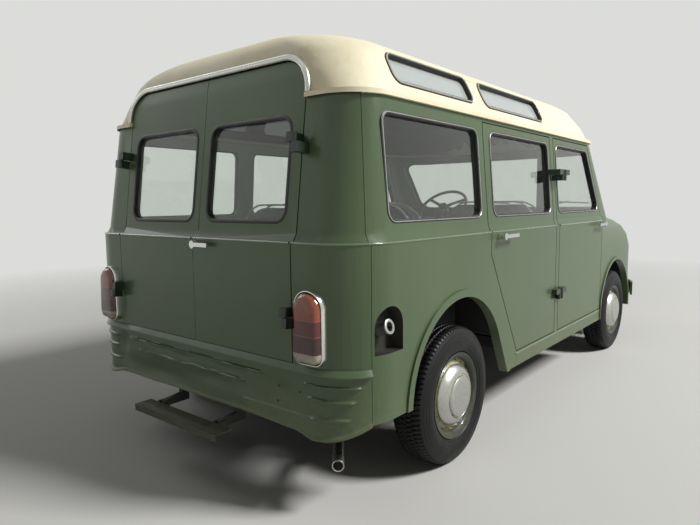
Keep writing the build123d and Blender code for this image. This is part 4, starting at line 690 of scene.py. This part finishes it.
def tyreSection():
    # fine steps across the tread, then the wall with its ribs, mirrored about the middle
    profile, wall = tyre["profile"], tyre["profile"][tyre["wallFrom"]:]
    points = []
    for across in (i * tyre["fineStep"] for i in range(tyre["fineSteps"])):
        (a0, r0), (a1, r1) = next(p for p in zip(profile, profile[1:]) if p[0][0] <= across <= p[1][0])
        points.append((across, r0 + (r1 - r0) * (across - a0) / (a1 - a0)))
    for (a0, r0), (a1, r1) in zip(wall, wall[1:]):
        pieces = 3 if r0 > 0.2 else 1
        for k in range(pieces):
            radius = r0 + (r1 - r0) * (k / pieces)
            ribbed = 0.2 < radius < 0.285 and int((radius - 0.2) / tyre["ribStep"]) % 3 == 0
            points.append((a0 + (a1 - a0) * (k / pieces) + (tyre["ribStand"] if ribbed else 0.0), radius))
    points.append(wall[-1])
    return [(-a, r) for a, r in reversed(points[1:])] + points


section = tyreSection()
perPitch = tyre["stepsPerPitch"]
turns = tyre["pitches"] * perPitch
for end, axleX in (("front", body["frontAxle"]), ("rear", body["rearAxle"])):
    for sideName, hand in body["sides"].items():
        wheel = end + "_" + sideName
        middle = Vector((axleX, hand * (body["wheelFace"] - tyre["half"]), body["tyreRadius"]))
        built = bmesh.new()
        rings = []
        for i in range(turns):
            turn = 2 * math.pi * i / turns
            radii = [(across, radius - treadDepth(across, (i % perPitch) / perPitch)) for across, radius in section]
            rings.append([built.verts.new(middle + Vector((r * math.cos(turn), across, r * math.sin(turn))))
                          for across, r in radii])
        joinRings(built, rings, closed=True)
        tread = makePiece("tread_" + wheel, built, tyreRubber, 38)
        finishPiece(tread, "wheel_" + wheel, "tyre_" + wheel)
        cap = revolve("hubcap_" + wheel, middle, Vector((0, hand, 0)), hubcap["profile"], brightAluminium)
        finishPiece(cap, "wheel_" + wheel)
print("wheels made")


# Tail lamps: banded lens in a polished arched surround

tailLamp = {
    "lowZ": 0.588, "highZ": 0.866, "innerY": 0.644, "outerY": 0.776, "foot": 0.030,
    # how far out from the flat rear, or None on the skin itself, and how far in from the outline
    "gasket": [(None, 0.001), (0.004, 0.001), (0.006, 0.004)],
    "lens": [(None, 0.0075), (0.016, 0.0075), (0.029, 0.010), (0.038, 0.017), (0.0430, 0.028), (0.0445, 0.041)],
    "rim": [(-0.002, -0.004), (-0.002, 0.020), (0.000, 0.0255), (0.003, 0.0262), (0.006, 0.018), (0.0075, -0.004)],
}
lens = lampLens("tailLens", ((0.0, "#A89E8C"), (0.636, "#3E0F0D"), (0.700, "#8E4A42"), (0.703, "#5C1612"),
                             (0.752, "#1E0F0C"), (0.756, "#8F431F")))


def archedOutline(y0, y1, z0, z1, foot, steps=20):
    # half round at the top, small round corners at the foot, as (y, z) points
    half, middle = (y1 - y0) / 2, (y0 + y1) / 2
    arcs = [(middle, z1 - half, half, 0, math.pi, steps)]
    arcs += [(cornerY, z0 + foot, foot, first, math.pi / 2, 6)
             for cornerY, first in ((y0 + foot, math.pi), (y1 - foot, 1.5 * math.pi))]
    return [Vector((y, z)) + radius * Vector((math.cos(first + turn * i / count), math.sin(first + turn * i / count)))
            for y, z, radius, first, turn, count in arcs for i in range(count + 1)]


def lampPlace(point, level):
    # on the rounded corner of the body, or so far out from the flat rear
    y, z = point
    beyond = max(abs(y) - body["cornerY"], 0.0)
    skinX = body["cornerX"] - math.sqrt(body["cornerRadius"] ** 2 - beyond ** 2)
    return Vector((skinX + 0.003 if level is None else body["rearFace"] - level, y, z))


def domedOutline(name, outline, levels, material):
    # the outline carried out level by level, drawn in towards its own middle
    built = bmesh.new()
    middle = sum(outline, Vector((0, 0))) / len(outline)
    rings = [[built.verts.new(lampPlace(p + (middle - p).normalized() * inset, level)) for p in outline]
             for level, inset in levels]
    joinRings(built, rings)
    built.faces.new(rings[-1])
    built.faces.new(list(reversed(rings[0])))
    return makePiece(name, built, material, 50)


for sideName, hand in body["sides"].items():
    y0, y1 = sorted((hand * tailLamp["innerY"], hand * tailLamp["outerY"]))
    outline = archedOutline(y0, y1, tailLamp["lowZ"], tailLamp["highZ"], tailLamp["foot"])
    gasket = domedOutline("tailGasket_" + sideName, outline, tailLamp["gasket"], sealRubber)
    finishPiece(gasket, "body")
    dome = domedOutline("tailLens_" + sideName, outline, tailLamp["lens"], lens)
    finishPiece(dome, "body", "tail_lamps")
    rim = sweep("tailRim_" + sideName, [lampPlace(p, None) for p in outline], Vector((-1, 0, 0)), tailLamp["rim"],
                chrome)
    finishPiece(rim, "body")
print("tail lamps made")


# Filler neck without its cap, and a polished sleeve on the tail of the exhaust

fillerNeck = {
    "mouth": (-1.789, -0.920, 0.722), "outward": (0.0, -0.142, 0.040),
    "profile": [(-0.058, 0.0300), (-0.046, 0.0290), (-0.036, 0.0245), (-0.016, 0.0235), (-0.012, 0.0285),
                (-0.004, 0.0305), (0.001, 0.0290), (0.0026, 0.0250), (0.0022, 0.0195), (0.0000, 0.0176),
                (-0.030, 0.0172)],
}
neck = revolve("fillerNeck", Vector(fillerNeck["mouth"]), Vector(fillerNeck["outward"]).normalized(),
               fillerNeck["profile"], brightAluminium)
finishPiece(neck, "body")
tailpipe = {
    "end": (-1.955, -0.800, 0.205), "along": (-0.29, -0.24, -0.017),
    "profile": [(-0.075, 0.0209), (-0.075, 0.0226), (-0.004, 0.0230), (0.000, 0.0236), (0.002, 0.0226),
                (0.001, 0.0205), (-0.004, 0.0188)],
}
sleeve = revolve("tailpipeSleeve", Vector(tailpipe["end"]), Vector(tailpipe["along"]).normalized(),
                 tailpipe["profile"], brightAluminium, steps=40)
finishPiece(sleeve, "body")


# Drip moulding over the rear doors

moulding = {
    "half": 0.612, "topZ": 1.735, "corner": 0.130, "gap": 0.0135, "footZ": 1.599, "arcSteps": 14,
    "profile": [(-0.0112, -0.004), (-0.0112, 0.0108), (-0.0085, 0.0138), (-0.0030, 0.0142), (-0.0005, 0.0116),
                (0.0040, 0.0112), (0.0065, 0.0128), (0.0102, 0.0120), (0.0112, 0.0104), (0.0112, -0.004)],
    # height, x in the middle, half width of the flat, radius beyond it
    "rearRows": ((1.580, -1.895, 0.696, 0.170), (1.680, -1.883, 0.607, 0.210), (1.780, -1.861, 0.518, 0.250)),
}


def roofRear(y, z):
    # back surface of the roof: flat in the middle, rounding forward towards the sides
    rows = moulding["rearRows"]
    low, high = (rows[0], rows[1]) if z < rows[1][0] else (rows[1], rows[2])
    share = (z - low[0]) / (high[0] - low[0])
    x, flat, radius = (a + (b - a) * share for a, b in zip(low[1:], high[1:]))
    beyond = min(max(abs(y) - flat, 0.0), radius)
    return x + radius - math.sqrt(radius * radius - beyond * beyond)


reach, bend = moulding["half"] + moulding["gap"], moulding["corner"] + moulding["gap"]
centreY, centreZ = moulding["half"] - moulding["corner"], moulding["topZ"] - moulding["corner"]
quarterTurn = [math.pi / 2 * i / moulding["arcSteps"] for i in range(moulding["arcSteps"] + 1)]
outline = [(-reach, moulding["footZ"])]
outline += [(-centreY - bend * math.cos(a), centreZ + bend * math.sin(a)) for a in quarterTurn]
outline += [(centreY * (i / 6 - 1), centreZ + bend) for i in range(1, 12)]
outline += [(centreY + bend * math.sin(a), centreZ + bend * math.cos(a)) for a in quarterTurn]
outline += [(reach, moulding["footZ"])]
strip = sweep("dripMoulding", [Vector((roofRear(y, z), y, z)) for y, z in outline], Vector((-1, 0, 0.15)),
              moulding["profile"], brightAluminium, closed=False)
finishPiece(strip, "body")


# Corner windows in the roof, and the seals under the rear doors

skylight = {"lowZ": 1.650, "highZ": 1.772, "corner": 0.040, "runs": ((-1.620, -0.960), (-0.835, -0.075)),
            "roofSlope": 0.49, "rubber": (0.010, 0.006), "trim": (0.0030, 0.002, 0.0085)}
footSeal = {"z": 0.5755, "inset": 0.004, "runs": ((-0.609, -0.006), (0.006, 0.609)),
            "profile": [(-0.003, -0.006), (-0.003, 0.0045), (0.003, 0.0045), (0.003, -0.006)]}
for sideName, hand in body["sides"].items():
    for number, (x0, x1) in enumerate(skylight["runs"]):
        corners = rectangle(x0, x1, skylight["lowZ"], skylight["highZ"])
        path = [Vector((x, hand * (body["eaveHalf"] - skylight["roofSlope"] * (z - body["eaveZ"])), z))
                for x, z in roundOutline(corners, skylight["corner"])]
        normal = Vector((0, hand, skylight["roofSlope"])).normalized()
        name = "_%s_%d" % (sideName, number)
        finishPiece(sweep("skySeal" + name, path, normal, sealProfile(*skylight["rubber"]), sealRubber),
                    "body")
        finishPiece(sweep("skyTrim" + name, path, normal, trimProfile(*skylight["trim"]), brightAluminium),
                    "body")
for y0, y1 in footSeal["runs"]:
    path = [Vector((body["rearFace"] + footSeal["inset"], y0 + (y1 - y0) * i / 8, footSeal["z"])) for i in range(9)]
    strip = sweep("doorFootSeal_%d" % round(y0 * 1000), path, Vector((-1, 0, 0)), footSeal["profile"], sealRubber,
                  closed=False)
    finishPiece(strip, "body")
print("rear trim and corner windows made")


# Rolled edges along the belt and the sill, each run on its own panel, in the lighter enamel of their painted
# highlight

bead = {
    "radius": 0.0048, "beltZ": 1.0350, "sillZ": 0.3715, "inset": 0.0008,
    "corner": (0.618, 1.058), "rear": (0.010, 0.603),
    # body, from and to along the side, sides
    "belt": (("body", (-1.770, -0.951), (-1,)), ("side_door", (-0.941, -0.064), (-1,)),
             ("body", (-1.770, -0.007), (1,)), ("front_door_right", (0.003, 0.880), (-1,)),
             ("front_door_left", (0.003, 0.880), (1,))),
    "sill": (("body", (-0.640, 0.880), (-1, 1)),),
}
runs = []
for run in ("belt", "sill"):
    for number, (bodyName, (x0, x1), hands) in enumerate(bead[run]):
        for hand in hands:
            path = [Vector((x0 + (x1 - x0) * i / 12, hand * (body["lowerHalf"] - bead["inset"]), bead[run + "Z"]))
                    for i in range(13)]
            runs.append(("%sBead_%d_%d" % (run, number, hand + 1), path, bodyName))
for sideName, hand in body["sides"].items():
    for where, bodyName in (("corner", "body"), ("rear", "rear_door_" + sideName)):
        start, end = bead[where]
        path = [Vector((*tailPlace(hand * (start + (end - start) * i / 24), -bead["inset"]), bead["beltZ"]))
                for i in range(25)]
        runs.append(("%sBead_%s" % (where, sideName), path, bodyName))
for name, path, bodyName in runs:
    edge = sweep(name, path, Vector((0, 0, 1)), roundProfile(bead["radius"], 16), beadGreenPaintedHighlight, closed=False)
    finishPiece(edge, bodyName)
print("rolled edges made")


# Inner wings and headlamps

innerWing = {"y": 0.585, "sheet": 0.003,
             "outline": ((0.930, 0.400), (1.760, 0.400), (1.760, 0.700), (1.600, 0.850), (0.930, 0.850))}
headlamp = {
    "front": (2.070, 0.575, 0.735),
    "bezel": [(-0.010, 0.0912), (0.010, 0.0925), (0.018, 0.0900), (0.020, 0.0840), (0.016, 0.0800), (0.004, 0.0795)],
    "bowl": [(0.004, 0.0800), (-0.020, 0.0740), (-0.050, 0.0560), (-0.070, 0.0300), (-0.077, 0.0120), (-0.078, 0.0)],
    "lens": [(0.0150, 0.0), (0.0130, 0.0450), (0.0080, 0.0700), (0.0020, 0.0785), (0.0060, 0.0795),
             (0.0120, 0.0700), (0.0170, 0.0450), (0.0190, 0.0)],
}
for sideName, hand in body["sides"].items():
    built = bmesh.new()
    rings = [[built.verts.new((x, hand * y, z)) for x, z in innerWing["outline"]]
             for y in (innerWing["y"], innerWing["y"] + innerWing["sheet"])]
    joinRings(built, rings)
    for ring in rings:
        built.faces.new(ring)
    finishPiece(makePiece("innerWing_" + sideName, built, chassisBlack), "body")
for sideName, hand in body["sides"].items():
    x, y, z = headlamp["front"]
    for part, material, slotName in (("bezel", chrome, "bright_metal"), ("bowl", brightAluminium, "bright_metal"),
                                     ("lens", clearGlass, "lamp_glass")):
        piece = revolve("headlamp_%s_%s" % (part, sideName), Vector((x, hand * y, z)), Vector((1, 0, 0)),
                        headlamp[part], material)
        finishPiece(piece, "body", "headlamps")


# Windscreen seal and wipers

screen = {
    "half": 0.800, "lowZ": 1.125, "highZ": 1.535, "corner": 0.070, "bow": 0.045,
    # height, x at the sides before the corner is rounded, half width, corner radius
    "rows": ((1.070, 1.295, 0.908, 0.320), (1.580, 0.935, 0.866, 0.300)),
}
wiper = {
    "pivots": (-0.250, 0.430), "pivotZ": 1.104, "lift": 0.013,
    "armPath": [(0.0, 1.104), (-0.06, 1.122), (-0.30, 1.168)], "bladePath": [(-0.47, 1.158), (-0.12, 1.172)],
    "arm": [(-0.0035, 0.0), (-0.0035, 0.006), (0.0035, 0.006), (0.0035, 0.0)],
    "blade": [(-0.0025, -0.009), (-0.0025, 0.003), (0.0025, 0.003), (0.0025, -0.009)],
    "hub": [(0.0, 0.012), (0.018, 0.011), (0.022, 0.008), (0.0225, 0.0)],
}


def screenSkin(y, z):
    # x of the front surface: a bowed front with round corners
    low, high = screen["rows"]
    share = (z - low[0]) / (high[0] - low[0])
    x, half, corner = (a + (b - a) * share for a, b in zip(low[1:], high[1:]))
    bow = screen["bow"]
    bigRadius = (half * half + bow * bow) / (2 * bow)
    bigCentre = x + bow - bigRadius
    cornerY = half - corner
    cornerX = bigCentre + math.sqrt((bigRadius - corner) ** 2 - cornerY ** 2)
    if abs(y) < cornerY * bigRadius / (bigRadius - corner):
        return bigCentre + math.sqrt(bigRadius ** 2 - y * y)
    return cornerX + math.sqrt(max(corner ** 2 - (abs(y) - cornerY) ** 2, 0.0))


def screenNormal(point):
    step = 0.004
    acrossY = (screenSkin(point.y + step, point.z) - screenSkin(point.y - step, point.z)) / (2 * step)
    acrossZ = (screenSkin(point.y, point.z + step) - screenSkin(point.y, point.z - step)) / (2 * step)
    return Vector((1, -acrossY, -acrossZ)).normalized()


def onScreen(y, z, lift=0.0):
    point = Vector((screenSkin(y, z), y, z))
    return point + screenNormal(point) * lift


def denser(points, step, closed=True):
    # more points on the straight runs, no further apart than step
    points = [Vector(p) for p in points]
    result = []
    for first, second in zip(points, points[1:] + points[:1] if closed else points[1:]):
        pieces = max(1, math.ceil((second - first).length / step))
        result += [first.lerp(second, k / pieces) for k in range(pieces)]
    return result if closed else result + points[-1:]


corners = rectangle(-screen["half"], screen["half"], screen["lowZ"], screen["highZ"])
outline = denser(roundOutline(corners, screen["corner"]), 0.04)
dressWindow("windscreen", [onScreen(y, z) for y, z in outline], screenNormal, "body")
for number, pivotY in enumerate(wiper["pivots"]):
    for part, material in (("arm", dashPlastic), ("blade", sealRubber)):
        path = denser([(pivotY + y, z) for y, z in wiper[part + "Path"]], 0.05, closed=False)
        piece = sweep("wiper%s_%d" % (part.capitalize(), number), [onScreen(y, z, wiper["lift"]) for y, z in path],
                      screenNormal, wiper[part], material, closed=False)
        finishPiece(piece, "body")
    hub = revolve("wiperHub_%d" % number, onScreen(pivotY, wiper["pivotZ"], -0.004),
                  screenNormal(onScreen(pivotY, wiper["pivotZ"])), wiper["hub"], chrome, steps=24)
    finishPiece(hub, "body")
print("front dressed")


# Seats: padded black cushions with white piping

seatTable = (  # name, x of the back's foot, middle y, width, seat's lower z, top of the back
    ("passengerSeat", 0.035, -0.430, 0.700, 0.605, 1.185),
    ("driverSeat", 0.035, 0.470, 0.560, 0.605, 1.185),
    ("bench", -1.135, 0.000, 1.240, 0.600, 1.180),
)
padding = {
    "shrink": 0.006, "voxel": 0.012, "pressure": 4.0, "cap": 0.014, "steps": 20, "fill": 0.6, "rows": 24,
    "seatHigh": 0.118, "rounding": 0.16, "piping": 0.0055,
    # x from the back's foot, the level it is measured from, height over that level
    "outlines": {
        "Cushion": ((0.085, "foot", 0.004), (0.525, "foot", 0.004), (0.532, "seat", 0.006), (0.30, "seat", 0.0),
                    (0.12, "seat", -0.004)),
        "Back": ((0.006, "foot", 0.010), (0.088, "foot", 0.012), (0.120, "seat", 0.020), (0.076, "top", -0.010),
                 (-0.030, "top", -0.010)),
    },
}


def padBlock(name, corners, y0, y1):
    # a closed block from a side outline; its upper corners are rounded in the view from the front
    built = bmesh.new()
    rings = []
    cornerReach = padding["rounding"]
    for i in range(padding["rows"] + 1):
        y = y0 + (y1 - y0) * i / padding["rows"]
        edge = max(min(y - y0, y1 - y), 0.0)
        drop = cornerReach - math.sqrt(cornerReach ** 2 - (cornerReach - edge) ** 2) if edge < cornerReach else 0.0
        rings.append([built.verts.new((x, y, z - drop if lowers else z)) for x, z, lowers in corners])
    joinRings(built, rings)
    built.faces.new(rings[0])
    built.faces.new(list(reversed(rings[-1])))
    bmesh.ops.recalc_face_normals(built, faces=built.faces)
    bmesh.ops.triangulate(built, faces=[f for f in built.faces if len(f.verts) > 4])
    return makePiece(name, built, seatVinyl)


def applyModifiers(piece):
    # the shape after its modifiers becomes the mesh itself
    graph = bpy.context.evaluated_depsgraph_get()
    mesh = bpy.data.meshes.new_from_object(piece.evaluated_get(graph))
    piece.modifiers.clear()
    piece.data = mesh


def inflate(piece):
    # stuffing: pressure swells the cover, each point moves no further than the cap
    bpy.context.scene.collection.objects.link(piece)
    remesh = piece.modifiers.new("skin", "REMESH")
    remesh.mode = "VOXEL"
    remesh.voxel_size = padding["voxel"]
    applyModifiers(piece)
    starts = [v.co.copy() for v in piece.data.vertices]
    cloth = piece.modifiers.new("stuffing", "CLOTH")
    cloth.settings.use_pressure = True
    cloth.settings.uniform_pressure_force = padding["pressure"]
    cloth.settings.effector_weights.gravity = 0.0
    for frameNumber in range(1, padding["steps"] + 1):
        bpy.context.scene.frame_set(frameNumber)
    applyModifiers(piece)
    bpy.context.scene.frame_set(1)
    for vertex, start in zip(piece.data.vertices, starts):
        move = vertex.co - start
        if move.length > padding["cap"]:
            vertex.co = start + move.normalized() * padding["cap"]
    smooth = piece.modifiers.new("even", "SMOOTH")
    smooth.factor = 0.5
    smooth.iterations = 6
    subdivision = piece.modifiers.new("fine", "SUBSURF")
    subdivision.levels = 1
    applyModifiers(piece)
    for face in piece.data.polygons:
        face.use_smooth = True
    bpy.context.scene.collection.objects.unlink(piece)


for name, backX, middleY, width, lowZ, topZ in seatTable:
    y0, y1 = middleY - width / 2 + padding["shrink"], middleY + width / 2 - padding["shrink"]
    seatTop, rounding = lowZ + padding["seatHigh"], padding["rounding"]
    levels = {"foot": lowZ, "seat": seatTop, "top": topZ}
    for part, outline in padding["outlines"].items():
        pad = padBlock(name + part, [(backX + x, levels[base] + z, base == "top") for x, base, z in outline], y0, y1)
        inflate(pad)
        finishPiece(pad, "body", "seats")
    for edgeName, edgeX, footX, outX in (("Front", backX + 0.076, 0.012, 1), ("Rear", backX - 0.032, -0.004, -1)):
        # up one side of the back, over its round shoulders and down the other
        quarterTurn = [math.pi / 2 * i / 12 for i in range(13)]
        shoulder = topZ - 0.006 - rounding
        path = [Vector((edgeX + footX, y0 + 0.001, seatTop + 0.10))]
        path += [Vector((edgeX, y0 + rounding * (1 - math.cos(a)), shoulder + rounding * math.sin(a)))
                 for a in quarterTurn]
        path += [Vector((edgeX, y1 - rounding * (1 - math.cos(a)), shoulder + rounding * math.sin(a)))
                 for a in reversed(quarterTurn)]
        path.append(Vector((edgeX + footX, y1 - 0.001, seatTop + 0.10)))
        piping = sweep(name + "Piping" + edgeName, path, Vector((outX, 0, 0.2)),
                       roundProfile(padding["piping"], 12), pipingVinyl, closed=False)
        finishPiece(piping, "body")
print("seats made")


# Floor, light and camera

stage = {
    "floor": "#C6C5C1", "wall": "#DCDDDA", "half": 80.0, "shown": 1.0, "lit": 0.11, "fadeFrom": 3.6, "fadeTo": 9.0,
    "lights": (("keyLight", (4.0, -11.5, 11.6), 3.6, 3300), ("fillLight", (-3.0, 10.0, 7.5), 6.0, 260)),
    "aim": (0, 0, 0.8),
}
floorMesh = bpy.data.meshes.new("studioFloor")
half = stage["half"]
floorMesh.from_pydata([(-half, -half, 0), (half, -half, 0), (half, half, 0), (-half, half, 0)], [], [(0, 1, 2, 3)])
floor = bpy.data.objects.new("studioFloor", floorMesh)
bpy.context.scene.collection.objects.link(floor)
# the floor keeps the shadow near the object and runs into the backdrop's colour further off
material, tree, shader, place = newMaterial("paleFloor")
setNode(tree, shader, {"Base Color": stage["floor"], "Roughness": 0.85})
farOff = addNode(tree, "VectorMath", {"operation": "LENGTH", 0: place}, "Value")
fading = addNode(tree, "MapRange", {0: farOff, 1: stage["fadeFrom"], 2: stage["fadeTo"]})
glow = addNode(tree, "Emission", {"Color": stage["wall"], "Strength": stage["shown"]})
seamless = addNode(tree, "MixShader", {0: fading, 1: shader.outputs[0], 2: glow})
setNode(tree, tree.nodes["Material Output"], {"Surface": seamless})
floorMesh.materials.append(material)

world = bpy.data.worlds.new("studio")
bpy.context.scene.world = world
world.use_nodes = True
tree = world.node_tree
seen = addNode(tree, "LightPath", {}, "Is Camera Ray")
for kind in ("Is Glossy Ray", "Is Transmission Ray"):
    seen = addNode(tree, "Math", {"operation": "MAXIMUM", 0: seen, 1: addNode(tree, "LightPath", {}, kind)})
strength = addNode(tree, "MapRange", {0: seen, 1: 0, 2: 1, 3: stage["lit"], 4: stage["shown"]})
setNode(tree, tree.nodes["Background"], {"Color": stage["wall"], "Strength": strength})

for name, place, size, power in stage["lights"]:
    lamp = bpy.data.lights.new(name, "AREA")
    lamp.energy = power
    lamp.size = size
    piece = bpy.data.objects.new(name, lamp)
    piece.location = place
    piece.rotation_euler = (Vector(stage["aim"]) - Vector(place)).to_track_quat("-Z", "Y").to_euler()
    bpy.context.scene.collection.objects.link(piece)

camera = {"place": (-3.49365, -2.12529, 1.18354), "yaw": 39.26, "pitch": -6.02, "roll": -0.584,
          "focalPixels": 567.41, "imageWidth": 700}
yaw, pitch, roll = (math.radians(camera[k]) for k in ("yaw", "pitch", "roll"))
ahead = Vector((math.cos(pitch) * math.cos(yaw), math.cos(pitch) * math.sin(yaw), math.sin(pitch)))
level = Vector((math.sin(yaw), -math.cos(yaw), 0))
right = level * math.cos(roll) + level.cross(ahead) * math.sin(roll)
lensData = bpy.data.cameras.new("photoCamera")
lensData.sensor_width = 36.0
lensData.lens = camera["focalPixels"] / camera["imageWidth"] * 36.0
cameraObject = bpy.data.objects.new("photoCamera", lensData)
turn = Matrix((right, right.cross(ahead), -ahead)).transposed().to_4x4()
cameraObject.matrix_world = Matrix.Translation(camera["place"]) @ turn
bpy.context.scene.collection.objects.link(cameraObject)
bpy.context.scene.camera = cameraObject
bpy.context.scene.view_settings.view_transform = "Standard"
print("stage and camera set")
